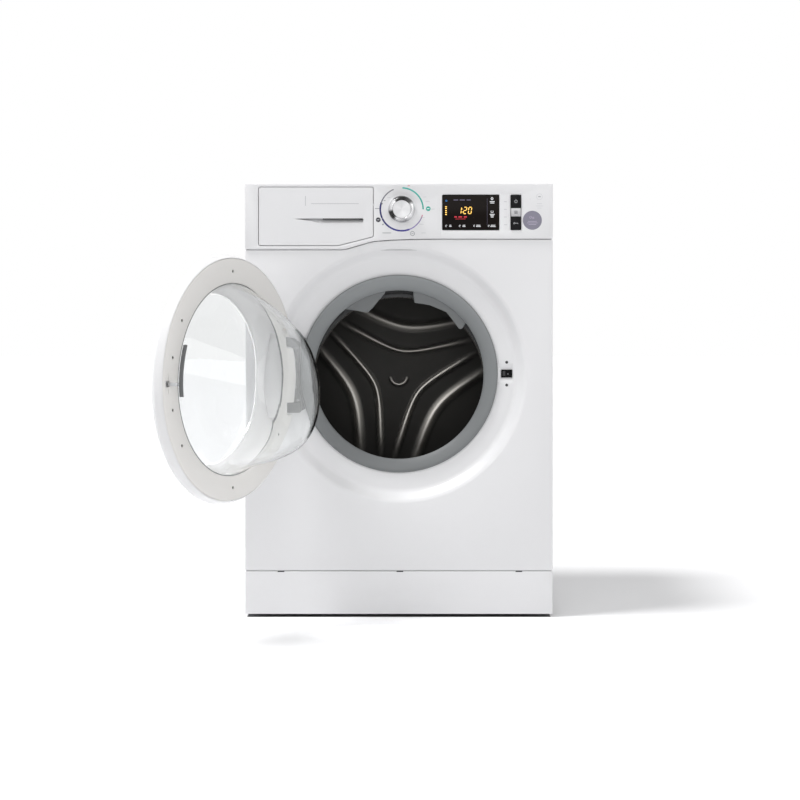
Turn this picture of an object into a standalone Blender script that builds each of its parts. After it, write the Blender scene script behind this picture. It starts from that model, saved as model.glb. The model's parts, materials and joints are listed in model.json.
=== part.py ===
"""Front-load washing machine, as an assembly of separate pieces.

Metres, +Z up, the front looks along -Y. Every shape is drawn in the machine's own coordinates:
X = 0 on the cabinet's middle, Y = 0 on the front panel's face, Z = 0 on the floor, the door shut.
Each piece hangs on an empty that stands on its joint's axis, and the door's empty turns it open.
"""

import math

import bmesh
import bpy
from mathutils import Matrix, Vector

# ---- Driving dimensions ------------------------------------------------------------------------
CABINET_WIDTH = 0.600
CABINET_DEPTH = 0.585
CABINET_HEIGHT = 0.845
SHEET = 0.0012
SEAM = 0.0015
GAP = 0.0005

# The origin is the middle of the bounding box's base with the door standing open.
STAND_X = 0.0689
STAND_Y = -0.0859

PLINTH_BOTTOM = 0.0062
PLINTH_TOP = 0.0895
FASCIA_FRONT = -0.0030
FASCIA_BACK = 0.0410
FASCIA_LOW_Z = 0.7170
FASCIA_HIGH_Z = 0.7376

PORT_Z = 0.474
PORT_RADIUS = 0.1905
RECESS_RADIUS = 0.2420
RECESS_FLOOR_RADIUS = 0.2180
RECESS_DEPTH = 0.0180

DOOR_RADIUS = 0.2310
DOOR_BULGE = 0.0435
DOOR_WALL = 0.0030
FRAME_RADIUS = 0.2240
GLASS_RADIUS = 0.1765
GLASS_FLANGE_RADIUS = 0.1855
GLASS_THICKNESS = 0.0035
FRAME_THICKNESS = 0.0050
FRAME_BACK_Y = GLASS_THICKNESS + GAP
FRAME_FACE_Y = FRAME_BACK_Y + FRAME_THICKNESS
WINDOW_RADIUS = 0.1565
HINGE_X = -0.2237
HINGE_Y = -0.0200
DOOR_OPEN_DEG = 119.0

LATCH_X = 0.2105
SLOT_WIDTH = 0.0222
SLOT_HEIGHT = 0.0156

DRAWER_LEFT = -0.2727
DRAWER_RIGHT = -0.0505
DRAWER_TOP = 0.8378
DRAWER_BOTTOM = 0.7248
DRAWER_CORNER_X = -0.1187
DRAWER_CORNER_Z = 0.7419

KNOB_X = 0.0055
KNOB_Z = 0.7950
KNOB_RADIUS = 0.0254

DISPLAY_LOW = (0.0850, 0.7550)
DISPLAY_HIGH = (0.1950, 0.8230)
BUTTON_X = 0.2280
BUTTON_WIDTH = 0.0200
BUTTON_EDGES = (0.7550, 0.7807, 0.7977, 0.8230)

DRUM_DROP = 0.0220
DRUM_Z = PORT_Z - DRUM_DROP
DRUM_RADIUS = 0.2380
DRUM_FRONT = 0.0925
DRUM_MOUTH_RADIUS = 0.1685
LIFTER_HEIGHT = 0.0550
TUB_RADIUS = 0.2570
TUB_WALL = 0.0040
TUB_FRONT = 0.0815
TUB_JOINT = 0.2500
TUB_FLANGE = 0.0110

SHAFT_FRONT_RADIUS = 0.0148
SHAFT_REAR_RADIUS = 0.0122
SHAFT_END_RADIUS = 0.0098
PULLEY_RADIUS = 0.1480
PULLEY_WIDTH = 0.0190
REAR_ROOM = 0.0735
BOSS_LENGTH = 0.0270
DRUM_ROOM = 0.0400
PULLEY_BACK = CABINET_DEPTH - REAR_ROOM
PULLEY_FRONT = PULLEY_BACK - PULLEY_WIDTH
BOSS_REAR = PULLEY_FRONT - 0.0055
TUB_REAR = BOSS_REAR - BOSS_LENGTH
DRUM_REAR = TUB_REAR - DRUM_ROOM
MOTOR_PULLEY_RADIUS = 0.0120
MOTOR_Z = 0.1120
MOTOR_RADIUS = 0.0580
MOTOR_LENGTH = 0.1380
MOTOR_BACK = TUB_REAR - 0.0070
BELT_THICKNESS = 0.0030

FOOT_X = 0.2650
FOOT_FRONT_Y = 0.0780
FOOT_BACK_Y = CABINET_DEPTH - 0.0400
FOOT_RADIUS = 0.0190
PAN_BOTTOM = 0.0105
PAN_TOP = 0.0450

ROUND = 40
SMALL_ROUND = 20

HALF_WIDTH = CABINET_WIDTH / 2
PANEL_BOTTOM = PLINTH_TOP + 0.0010
WORKTOP_BOTTOM = CABINET_HEIGHT - 0.0212
WORKTOP_BACK = CABINET_DEPTH + 0.0135
FLANGE_TOP = WORKTOP_BOTTOM - 0.0003


# ---- Scene and carriers ------------------------------------------------------------------------
def clear_scene():
    for item in list(bpy.data.objects):
        bpy.data.objects.remove(item)


def paint(name, colour, roughness, metallic=0.0, alpha=1.0):
    """A plain Principled material."""
    material = bpy.data.materials.new(name)
    material.use_nodes = True
    shader = material.node_tree.nodes["Principled BSDF"]
    shader.inputs["Base Color"].default_value = (*colour, 1.0)
    shader.inputs["Roughness"].default_value = roughness
    shader.inputs["Metallic"].default_value = metallic
    shader.inputs["Alpha"].default_value = alpha
    return material


def carrier(name, axis_point, parent=None, turn=0.0):
    """An empty on a joint's axis. Pieces drawn in machine coordinates hang on it."""
    empty = bpy.data.objects.new(name, None)
    bpy.context.scene.collection.objects.link(empty)
    empty["axis_point"] = axis_point
    if parent is None:
        empty.location = (STAND_X, STAND_Y, 0.0)
    else:
        empty.parent = parent
        empty.location = Vector(axis_point) - Vector(parent["axis_point"])
    empty.rotation_euler.z = turn
    return empty


def place(name, bm, material, holder):
    """Turns a bmesh in machine coordinates into an object that hangs on its carrier."""
    bmesh.ops.translate(bm, verts=bm.verts, vec=-Vector(holder["axis_point"]))
    bmesh.ops.recalc_face_normals(bm, faces=bm.faces)
    mesh = bpy.data.meshes.new(name)
    bm.to_mesh(mesh)
    bm.free()
    mesh.shade_smooth()
    mesh.set_sharp_from_angle(angle=math.radians(35))
    item = bpy.data.objects.new(name, mesh)
    bpy.context.scene.collection.objects.link(item)
    item.parent = holder
    if material is not None:
        mesh.materials.append(material)
    return item


def helper(bm, holder):
    """A hidden shape that a Boolean reads."""
    item = place("helper", bm, None, holder)
    item.hide_render = True
    item.display_type = "WIRE"
    return item


def combine(item, operation, *shapes):
    """Cuts shapes from a piece, or joins them to it."""
    for bm in shapes:
        modifier = item.modifiers.new(operation.title(), "BOOLEAN")
        modifier.operation = operation
        modifier.object = helper(bm, item.parent)
    return item


def cut(item, *shapes):
    return combine(item, "DIFFERENCE", *shapes)


def unite(item, *shapes):
    return combine(item, "UNION", *shapes)


def ease_edges(item, width, segments=2, angle=40):
    """Rounds a piece's sharp edges."""
    bevel = item.modifiers.new("Bevel", "BEVEL")
    bevel.width = width
    bevel.segments = segments
    bevel.limit_method = "ANGLE"
    bevel.angle_limit = math.radians(angle)
    return item


# ---- Shapes ------------------------------------------------------------------------------------
def block(low, high):
    bm = bmesh.new()
    bmesh.ops.create_cube(bm, size=1.0)
    low, high = Vector(low), Vector(high)
    bmesh.ops.scale(bm, verts=bm.verts, vec=high - low)
    bmesh.ops.translate(bm, verts=bm.verts, vec=(low + high) / 2)
    return bm


AXIS_TURNS = {
    "Y": Matrix.Identity(4),
    "Z": Matrix.Rotation(math.pi / 2, 4, "X"),
}


def turned(profile, centre=(0.0, 0.0, 0.0), axis="Y", steps=ROUND):
    """Spins a closed profile of (along the axis, radius) points. Points at radius 0 close on the axis."""
    bm = bmesh.new()
    ring = [bm.verts.new((radius, along, 0.0)) for along, radius in profile]
    edges = [bm.edges.new(pair) for pair in zip(ring, ring[1:])]
    if profile[0][1] or profile[-1][1]:
        edges.append(bm.edges.new((ring[-1], ring[0])))
    bmesh.ops.spin(
        bm, geom=ring + edges, cent=(0, 0, 0), axis=(0, 1, 0),
        angle=2 * math.pi, steps=steps, use_merge=True,
    )
    bmesh.ops.remove_doubles(bm, verts=bm.verts, dist=1e-6)
    bmesh.ops.transform(bm, matrix=Matrix.Translation(centre) @ AXIS_TURNS[axis], verts=bm.verts)
    return bm


def rod(centre, radius, low, high, axis="Y", steps=SMALL_ROUND):
    """A plain cylinder along Y or Z, between two places on that axis."""
    x, y, z = centre
    centre = (x, 0.0, z) if axis == "Y" else (x, y, 0.0)
    return turned([(low, 0.0), (low, radius), (high, radius), (high, 0.0)], centre, axis, steps)


def sleeve(centre, inner, outer, low, high, axis="Y", steps=SMALL_ROUND):
    """A plain tube along Y or Z."""
    x, y, z = centre
    centre = (x, 0.0, z) if axis == "Y" else (x, y, 0.0)
    return turned([(low, inner), (low, outer), (high, outer), (high, inner)], centre, axis, steps)


def arc(centre, radius, start_deg, end_deg, steps):
    """Points on an arc, both ends included."""
    angles = [math.radians(start_deg + (end_deg - start_deg) * i / steps) for i in range(steps + 1)]
    return [(centre[0] + radius * math.cos(a), centre[1] + radius * math.sin(a)) for a in angles]


def circle(centre, radius, steps=SMALL_ROUND):
    return arc(centre, radius, 0.0, 360.0, steps)[:-1]


def rectangle(low, high):
    return [(low[0], low[1]), (high[0], low[1]), (high[0], high[1]), (low[0], high[1])]


def offset_outline(outline, distance):
    """Moves each side of an anticlockwise outline inwards by the distance."""
    moved = []
    for i, point in enumerate(outline):
        before = Vector(outline[i - 1])
        here = Vector(point)
        after = Vector(outline[(i + 1) % len(outline)])
        first = (here - before).normalized()
        second = (after - here).normalized()
        normal = Vector((-first.y - second.y, first.x + second.x)).normalized()
        along = normal.dot(Vector((-first.y, first.x)))
        moved.append(tuple(here + normal * distance / along))
    return moved


def rounded(outline, radius, steps=4):
    """Replaces each corner of an outline by an arc that touches both of its sides."""
    points = []
    for i, corner in enumerate(outline):
        here = Vector(corner)
        back = (Vector(outline[i - 1]) - here).normalized()
        forth = (Vector(outline[(i + 1) % len(outline)]) - here).normalized()
        half = back.angle(forth) / 2
        reach = radius / math.tan(half)
        centre = here + (back + forth).normalized() * radius / math.sin(half)
        start = here + back * reach - centre
        turn = (here + forth * reach - centre).angle_signed(start)
        for k in range(steps + 1):
            spoke = start.copy()
            spoke.rotate(Matrix.Rotation(turn * k / steps, 2))
            points.append(tuple(centre + spoke))
    return points


def fill_between(bm, loops):
    """Fills the area between an outer loop of vertices and the loops inside it."""
    edges = [bm.edges.new((loop[i - 1], loop[i])) for loop in loops for i in range(len(loop))]
    bmesh.ops.triangle_fill(bm, use_beauty=True, use_dissolve=False, edges=edges)


def prism(outline, low, high, axis="Y", holes=()):
    """Extrudes an outline, with holes in it, along Y from (x, z) points or along Z from (x, y) points."""
    bm = bmesh.new()
    loops = []
    for points in (outline, *holes):
        if axis == "Y":
            loops.append([bm.verts.new((a, low, b)) for a, b in points])
        else:
            loops.append([bm.verts.new((a, b, low)) for a, b in points])
    fill_between(bm, loops)
    shift = Vector((0, high - low, 0)) if axis == "Y" else Vector((0, 0, high - low))
    made = bmesh.ops.extrude_face_region(bm, geom=bm.faces[:] + bm.edges[:])
    moved = [g for g in made["geom"] if isinstance(g, bmesh.types.BMVert)]
    bmesh.ops.translate(bm, verts=moved, vec=shift)
    return bm


def skin(loops, cap=True):
    """An open sheet through loops of equal length, with the last one filled where cap is set."""
    bm = bmesh.new()
    rings = []
    for points in loops:
        verts = [bm.verts.new(p) for p in points]
        rings.append([bm.edges.new((verts[i - 1], verts[i])) for i in range(len(verts))])
    for first, second in zip(rings, rings[1:]):
        bmesh.ops.bridge_loops(bm, edges=first + second)
    if cap:
        bmesh.ops.contextual_create(bm, geom=rings[-1])
    return bm


def thicken(item, thickness, offset=-1.0):
    solid = item.modifiers.new("Solidify", "SOLIDIFY")
    solid.thickness = thickness
    solid.offset = offset
    solid.use_even_offset = True
    return item


def on_plane(outline, y):
    return [(x, y, z) for x, z in outline]


# ---- Carriers, one for each body ---------------------------------------------------------------
clear_scene()

machine = carrier("machine", (0.0, 0.0, 0.0))
door = carrier("door_axis", (HINGE_X, HINGE_Y, PORT_Z), machine, math.radians(-DOOR_OPEN_DEG))
HANDLE_PIVOT = (0.2010, -0.0225, PORT_Z)
handle = carrier("handle_axis", HANDLE_PIVOT, door)
LATCH_PIVOT = (LATCH_X, 0.0005, PORT_Z)
latch = carrier("latch_axis", LATCH_PIVOT, door)
drawer = carrier("drawer_axis", ((DRAWER_LEFT + DRAWER_RIGHT) / 2, 0.0, 0.785), machine)
knob = carrier("knob_axis", (KNOB_X, 0.0, KNOB_Z), machine)
tub = carrier("tub_axis", (0.0, 0.0, DRUM_Z), machine)
drum = carrier("drum_axis", (0.0, 0.0, DRUM_Z), tub)
rotor = carrier("rotor_axis", (0.0, 0.0, MOTOR_Z), tub)

# ---- Paints ------------------------------------------------------------------------------------
white_enamel = paint("white_enamel", (0.80, 0.80, 0.81), 0.35)
white_plastic = paint("white_plastic", (0.78, 0.78, 0.79), 0.40)
frame_plastic = paint("frame_plastic", (0.62, 0.61, 0.59), 0.50)
grey_plastic = paint("grey_plastic", (0.22, 0.23, 0.24), 0.55)
black_plastic = paint("black_plastic", (0.012, 0.012, 0.014), 0.30)
black_glass = paint("black_glass", (0.006, 0.006, 0.008), 0.08)
clear_glass = paint("clear_glass", (0.90, 0.94, 0.94), 0.03, alpha=0.35)
grey_rubber = paint("grey_rubber", (0.22, 0.24, 0.25), 0.60)
black_rubber = paint("black_rubber", (0.02, 0.02, 0.02), 0.75)
chrome = paint("chrome", (0.75, 0.75, 0.76), 0.15, 1.0)
drum_steel = paint("drum_steel", (0.45, 0.44, 0.42), 0.28, 1.0)
zinc_steel = paint("zinc_steel", (0.55, 0.56, 0.57), 0.40, 1.0)
cast_alloy = paint("cast_alloy", (0.50, 0.50, 0.51), 0.55, 1.0)
tub_plastic = paint("tub_plastic", (0.55, 0.56, 0.57), 0.55)
cast_iron = paint("cast_iron", (0.10, 0.10, 0.10), 0.80, 1.0)
board_green = paint("board_green", (0.02, 0.16, 0.07), 0.50)


# ---- Cabinet -----------------------------------------------------------------------------------
def fascia_outline():
    """The control panel's face: low under the drawer, then a slant up to the right."""
    return [
        (-HALF_WIDTH, FASCIA_LOW_Z),
        (-0.1070, FASCIA_LOW_Z),
        (DRAWER_RIGHT, 0.7322),
        (0.0120, FASCIA_HIGH_Z - 0.0012),
        (0.0740, FASCIA_HIGH_Z),
        (HALF_WIDTH, FASCIA_HIGH_Z),
        (HALF_WIDTH, CABINET_HEIGHT),
        (-HALF_WIDTH, CABINET_HEIGHT),
    ]


def drawer_outline():
    """The drawer's face, with its lower right corner cut off."""
    return [
        (DRAWER_LEFT, DRAWER_BOTTOM),
        (DRAWER_CORNER_X, DRAWER_BOTTOM),
        (DRAWER_RIGHT, DRAWER_CORNER_Z),
        (DRAWER_RIGHT, DRAWER_TOP),
        (DRAWER_LEFT, DRAWER_TOP),
    ]


def make_side_panels():
    """Steel sides, each with a flange along the top that the tub's spring hangs from."""
    flange = 0.0560
    for name, side in (("side_panel_left", -1), ("side_panel_right", 1)):
        section = [
            (side * HALF_WIDTH, 0.0150),
            (side * HALF_WIDTH, FLANGE_TOP),
            (side * (HALF_WIDTH - flange), FLANGE_TOP),
            (side * (HALF_WIDTH - flange), FLANGE_TOP - SHEET),
            (side * (HALF_WIDTH - SHEET), FLANGE_TOP - SHEET),
            (side * (HALF_WIDTH - SHEET), 0.0150),
        ]
        bm = prism(section, FASCIA_BACK + GAP, CABINET_DEPTH - SHEET - GAP)
        place(name, bm, white_enamel, machine)


SERVICE_LOW = (-0.1850, 0.2150)
SERVICE_HIGH = (0.1850, 0.6950)
VALVE_CENTRE = (0.2250, 0.0, 0.7800)
GLAND_CENTRE = (-0.2250, 0.0, 0.7600)


def make_back():
    """The rear panel with its service opening, the dished cover over it, and what comes through."""
    outline = rectangle((-HALF_WIDTH + 0.0002, PAN_TOP + 0.005), (HALF_WIDTH - 0.0002, FLANGE_TOP - 0.004))
    service = rounded(rectangle(SERVICE_LOW, SERVICE_HIGH), 0.030)
    valve_hole = circle((VALVE_CENTRE[0], VALVE_CENTRE[2]), 0.0145)
    gland_hole = circle((GLAND_CENTRE[0], GLAND_CENTRE[2]), 0.0096)
    bm = prism(outline, CABINET_DEPTH - SHEET, CABINET_DEPTH, holes=(service, valve_hole, gland_hole))
    place("back_panel", bm, white_enamel, machine)

    lip = 0.020
    steps = ((-lip, 0.0), (0.004, 0.0), (0.010, 0.0105))
    sheet_front = CABINET_DEPTH + GAP + SHEET
    loops = [on_plane(offset_outline(service, inset), sheet_front + rise) for inset, rise in steps]
    cover = place("back_cover", skin(loops), white_enamel, machine)
    thicken(cover, SHEET)

    x, _, z = VALVE_CENTRE
    valve = place(
        "inlet_valve",
        block((x - 0.025, CABINET_DEPTH - 0.052, z - 0.018), (x + 0.025, CABINET_DEPTH - 0.0025, z + 0.018)),
        white_plastic, machine,
    )
    unite(valve, rod(VALVE_CENTRE, 0.0128, CABINET_DEPTH - 0.006, CABINET_DEPTH + 0.0120))

    gland = [
        (CABINET_DEPTH - 0.0080, 0.0042), (CABINET_DEPTH - 0.0080, 0.0135),
        (CABINET_DEPTH - 0.0022, 0.0135), (CABINET_DEPTH - 0.0022, 0.0090),
        (CABINET_DEPTH + 0.0110, 0.0070), (CABINET_DEPTH + 0.0110, 0.0042),
    ]
    place("cord_gland", turned(gland, GLAND_CENTRE, steps=SMALL_ROUND), black_rubber, machine)


FILTER_CENTRE = (0.1900, 0.0, 0.0525)


def make_base():
    """The base pan with a solid block in each corner for a foot's thread."""
    half = HALF_WIDTH - 0.0040
    front, back = 0.0450, CABINET_DEPTH - 0.0030
    corner = 0.0620
    wall = 0.0030
    pan = place("base_pan", block((-half, front, PAN_BOTTOM), (half, back, PAN_TOP)), grey_plastic, machine)
    inner = half - wall
    low, high = front + wall, back - wall
    cross = [
        (-half + corner, low), (half - corner, low),
        (half - corner, front + corner), (inner, front + corner),
        (inner, back - corner), (half - corner, back - corner),
        (half - corner, high), (-half + corner, high),
        (-half + corner, back - corner), (-inner, back - corner),
        (-inner, front + corner), (-half + corner, front + corner),
    ]
    cut(pan, prism(cross, PAN_BOTTOM + 0.0035, PAN_TOP + 0.01, axis="Z"))
    for x, y in foot_places().values():
        cut(pan, rod((x, y, 0), 0.0056, PAN_BOTTOM - 0.01, PAN_TOP + 0.01, "Z"))
    cut(pan, rod(FILTER_CENTRE, 0.0345, front - 0.01, front + wall + 0.01, steps=ROUND))


def foot_places():
    return {
        "foot_front_left": (-FOOT_X, FOOT_FRONT_Y),
        "foot_front_right": (FOOT_X, FOOT_FRONT_Y),
        "foot_back_left": (-FOOT_X, FOOT_BACK_Y),
        "foot_back_right": (FOOT_X, FOOT_BACK_Y),
    }


def make_feet():
    """Threaded feet that screw down out of the base."""
    profile = [
        (0.0, 0.0), (0.0, FOOT_RADIUS - 0.002), (0.002, FOOT_RADIUS), (0.0065, FOOT_RADIUS),
        (0.0095, 0.0110), (0.0100, 0.0050), (0.0430, 0.0050), (0.0430, 0.0),
    ]
    for name, (x, y) in foot_places().items():
        holder = carrier(name + "_axis", (x, y, 0.0), machine)
        place(name, turned(profile, (x, y, 0.0), "Z", SMALL_ROUND), black_rubber, holder)


def make_worktop():
    bm = block(
        (-HALF_WIDTH + 0.0005, FASCIA_BACK + GAP, WORKTOP_BOTTOM),
        (HALF_WIDTH - 0.0005, WORKTOP_BACK, CABINET_HEIGHT - 0.0020),
    )
    ease_edges(place("worktop", bm, white_plastic, machine), 0.0020)


def front_panel_outline():
    """The pressed front's outline: it follows the control panel's lower edge."""
    top = [(x, z - SEAM) for x, z in fascia_outline()[:6]]
    top[0] = (-HALF_WIDTH, top[0][1])
    return [(-HALF_WIDTH, PANEL_BOTTOM), (HALF_WIDTH, PANEL_BOTTOM), *reversed(top)]


def make_front_panel():
    """The pressed steel front: rounded rim, dished door recess, porthole, latch slot."""
    rim = 0.0025
    outline = front_panel_outline()
    bm = bmesh.new()
    dish = [
        (RECESS_RADIUS + 0.0030, 0.0),
        (RECESS_RADIUS - 0.0020, 0.0018),
        (RECESS_FLOOR_RADIUS + 0.0020, RECESS_DEPTH - 0.0018),
        (RECESS_FLOOR_RADIUS - 0.0030, RECESS_DEPTH),
        (PORT_RADIUS + 0.0015, RECESS_DEPTH),
        (PORT_RADIUS, RECESS_DEPTH + 0.0015),
        (PORT_RADIUS, RECESS_DEPTH + 0.0060),
    ]
    corner = rim * (1 - math.sqrt(0.5))
    edge = [(rim, 0.0), (corner, corner), (0.0, rim), (0.0, FASCIA_BACK)]
    rings = [[bm.verts.new((x, 0.0, z)) for x, z in circle((0, PORT_Z), dish[0][0], ROUND)]]
    borders = [[bm.verts.new(p) for p in on_plane(offset_outline(outline, edge[0][0]), 0.0)]]
    fill_between(bm, [borders[0], rings[0]])
    for radius, y in dish[1:]:
        rings.append([bm.verts.new((x, y, z)) for x, z in circle((0, PORT_Z), radius, ROUND)])
    for inset, y in edge[1:]:
        borders.append([bm.verts.new(p) for p in on_plane(offset_outline(outline, inset), y)])
    for series in (rings, borders):
        for first, second in zip(series, series[1:]):
            for i in range(len(first)):
                bm.faces.new((first[i - 1], first[i], second[i], second[i - 1]))
    panel = place("front_panel", bm, white_enamel, machine)
    thicken(panel, SHEET)
    half_slot = (SLOT_WIDTH / 2, SLOT_HEIGHT / 2)
    cut(panel, block(
        (LATCH_X - half_slot[0], -0.01, PORT_Z - half_slot[1]),
        (LATCH_X + half_slot[0], RECESS_DEPTH + 0.01, PORT_Z + half_slot[1]),
    ))


def make_door_lock():
    """The lock's case behind the latch slot, hollow where the hook goes in."""
    front = RECESS_DEPTH + SHEET + GAP
    depth = 0.0300
    lock = place(
        "door_lock",
        block((LATCH_X - 0.0175, front, PORT_Z - 0.040), (LATCH_X + 0.0260, front + depth, PORT_Z + 0.040)),
        black_plastic, machine,
    )
    cut(lock, block(
        (LATCH_X - SLOT_WIDTH / 2, front - 0.01, PORT_Z - SLOT_HEIGHT / 2),
        (LATCH_X + SLOT_WIDTH / 2, front + depth - 0.0030, PORT_Z + SLOT_HEIGHT / 2),
    ))


def make_plinth():
    """The snap-on kick panel with three release slots along its top edge."""
    half = HALF_WIDTH - 0.0003
    depth = FASCIA_BACK
    wall = 0.0025
    plinth = place("plinth", block((-half, 0.0, PLINTH_BOTTOM), (half, depth, PLINTH_TOP)), white_plastic, machine)
    cut(plinth, block((-half + wall, wall, PLINTH_BOTTOM + wall), (half - wall, depth + 0.01, PLINTH_TOP - wall)))
    for x in (-0.2300, 0.0, 0.2340):
        cut(plinth, block((x - 0.0065, -0.01, PLINTH_TOP - 0.0014), (x + 0.0065, depth + 0.01, PLINTH_TOP + 0.01)))


# ---- Control panel -----------------------------------------------------------------------------
def make_fascia():
    """The control panel's moulding: a hollow front with openings for drawer, knob and buttons."""
    wall = 0.0025
    outline = fascia_outline()
    fascia = place("fascia", prism(outline, FASCIA_FRONT, FASCIA_BACK), white_plastic, machine)
    cut(fascia, prism(offset_outline(outline, wall), 0.0, FASCIA_BACK + 0.01))
    cut(fascia, prism(rounded(offset_outline(drawer_outline(), -0.0010), 0.0035), -0.01, 0.01))
    cut(fascia, rod((KNOB_X, 0, KNOB_Z), 0.0065, -0.01, 0.01))
    cut(fascia, block(
        (DISPLAY_LOW[0], -0.01, DISPLAY_LOW[1]), (DISPLAY_HIGH[0], FASCIA_FRONT + 0.0020, DISPLAY_HIGH[1]),
    ))
    cut(fascia, block(
        (BUTTON_X - BUTTON_WIDTH / 2, -0.01, BUTTON_EDGES[0]),
        (BUTTON_X + BUTTON_WIDTH / 2, 0.01, BUTTON_EDGES[-1]),
    ))


def make_display():
    place("display_window", block(
        (DISPLAY_LOW[0] + GAP, FASCIA_FRONT - 0.0003, DISPLAY_LOW[1] + GAP),
        (DISPLAY_HIGH[0] - GAP, FASCIA_FRONT + 0.0016, DISPLAY_HIGH[1] - GAP),
    ), black_glass, machine)


def make_control_board():
    """The circuit board behind the panel, with its display module and the knob's encoder."""
    board = place(
        "control_board", block((-0.0300, 0.0075, 0.7450), (0.2560, 0.0110, 0.8300)), board_green, machine,
    )
    unite(board, block((0.0900, 0.0010, 0.7600), (0.1900, 0.0090, 0.8180)))
    unite(board, rod((KNOB_X, 0, KNOB_Z), 0.0090, 0.0020, 0.0090))


BUTTON_TRAVEL = 0.0012


def make_buttons():
    """Three push buttons, one above the other, in one slot of the panel."""
    names = ("option_button", "start_button", "power_button")
    for name, low, high in zip(names, BUTTON_EDGES, BUTTON_EDGES[1:]):
        holder = carrier(name + "_axis", (BUTTON_X, FASCIA_FRONT, (low + high) / 2), machine)
        bm = block(
            (BUTTON_X - BUTTON_WIDTH / 2 + GAP, FASCIA_FRONT - 0.0016, low + GAP),
            (BUTTON_X + BUTTON_WIDTH / 2 - GAP, 0.0045, high - GAP),
        )
        paint_of = chrome if name == "start_button" else black_plastic
        ease_edges(place(name, bm, paint_of, holder), 0.0006)


def make_knob():
    """The programme knob, one turned piece with its short shaft."""
    face = FASCIA_FRONT - 0.0185
    profile = [
        (0.0008, 0.0), (0.0008, 0.0050), (FASCIA_FRONT - GAP, 0.0050),
        (FASCIA_FRONT - GAP, KNOB_RADIUS), (face + 0.0020, KNOB_RADIUS - 0.0010),
        (face - 0.0010, KNOB_RADIUS - 0.0030), (face, KNOB_RADIUS - 0.0049), (face, 0.0),
    ]
    place("programme_knob", turned(profile, (KNOB_X, 0, KNOB_Z)), chrome, knob)


# ---- Detergent drawer --------------------------------------------------------------------------
TRAY_LEFT = -0.2620
TRAY_RIGHT = -0.0620
TRAY_BOTTOM = 0.7570
TRAY_TOP = 0.8120
TRAY_FRONT = 0.0180
TRAY_BACK = 0.3100
HOUSING_CLEARANCE = 0.0020


def make_dispenser_housing():
    """The box that the drawer slides into, open at the front."""
    wall = 0.0022
    low = Vector((TRAY_LEFT - HOUSING_CLEARANCE, 0.0045, TRAY_BOTTOM - HOUSING_CLEARANCE))
    high = Vector((TRAY_RIGHT + HOUSING_CLEARANCE, TRAY_BACK + 0.0150, TRAY_TOP + 0.0070))
    shell = Vector((wall, 0.0, wall))
    housing = place(
        "dispenser_housing",
        block(low - shell, high + shell + Vector((0, wall, 0))),
        white_plastic, machine,
    )
    cut(housing, block(low - Vector((0, 0.02, 0)), high))


GRIP_LOW = (-0.1520, 0.7620)
GRIP_HIGH = (-0.0680, 0.7724)


def make_drawer():
    """The drawer's front with its finger grip, and the tray with three compartments."""
    outline = rounded(drawer_outline(), 0.0030)
    front = place("drawer_front", prism(outline, FASCIA_FRONT, 0.0036), white_plastic, drawer)
    unite(front, block(
        (TRAY_LEFT + 0.004, 0.0020, TRAY_BOTTOM + 0.001),
        (TRAY_RIGHT - 0.001, TRAY_FRONT - GAP, TRAY_TOP - 0.002),
    ))
    cut(front, block((GRIP_LOW[0], -0.02, GRIP_LOW[1]), (GRIP_HIGH[0], 0.0135, GRIP_HIGH[1])))

    wall = 0.0020
    tray = place(
        "drawer_tray",
        block((TRAY_LEFT, TRAY_FRONT, TRAY_BOTTOM), (TRAY_RIGHT, TRAY_BACK, TRAY_TOP)),
        white_plastic, drawer,
    )
    left = TRAY_LEFT
    for right in compartment_walls():
        cut(tray, block(
            (left + wall, TRAY_FRONT + wall, TRAY_BOTTOM + wall),
            (right, TRAY_BACK - wall, TRAY_TOP + 0.01),
        ))
        left = right


def compartment_walls():
    """The right-hand end of each compartment, from the left."""
    return (TRAY_LEFT + 0.0720, TRAY_LEFT + 0.1300, TRAY_RIGHT - 0.0020)


# ---- Door --------------------------------------------------------------------------------------
ARM_REACH = 0.0277
ARM_THICKNESS = 0.0080
ARM_LOW, ARM_HIGH = 0.0550, 0.0750
KNUCKLE_RADIUS = 0.0070
PIN_RADIUS = 0.0030
HINGE_POINT = (HINGE_X, HINGE_Y, 0.0)


def hinge_relief(low, high):
    """The room that the hinge takes in the door's rim, between two heights about its middle."""
    return block(
        (HINGE_X - 0.030, HINGE_Y - 0.0085, PORT_Z + low),
        (HINGE_X + ARM_REACH + 0.0070, 0.0200, PORT_Z + high),
    )


def arm_reliefs():
    low, high = ARM_LOW - 0.002, ARM_HIGH + 0.002
    return hinge_relief(low, high), hinge_relief(-high, -low)


def door_slope(inset):
    """The shell's outer line from its rim to the window, moved inwards by an inset."""
    return [
        (-0.0020, DOOR_RADIUS - 0.0022 - inset), (-0.0080 + inset * 0.3, DOOR_RADIUS - inset),
        (-0.0120 + inset * 0.8, DOOR_RADIUS - 0.0006 - inset), (-0.0160 + inset * 0.9, DOOR_RADIUS - 0.0058 - inset * 0.7),
        (-0.0380 + inset, DOOR_RADIUS - 0.0468 - inset * 0.6), (-0.0420 + inset, DOOR_RADIUS - 0.0560 - inset * 0.3),
        (-DOOR_BULGE + inset, DOOR_RADIUS - 0.0630), (-DOOR_BULGE + 0.0005 + inset, WINDOW_RADIUS + 0.0060),
    ]


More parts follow.
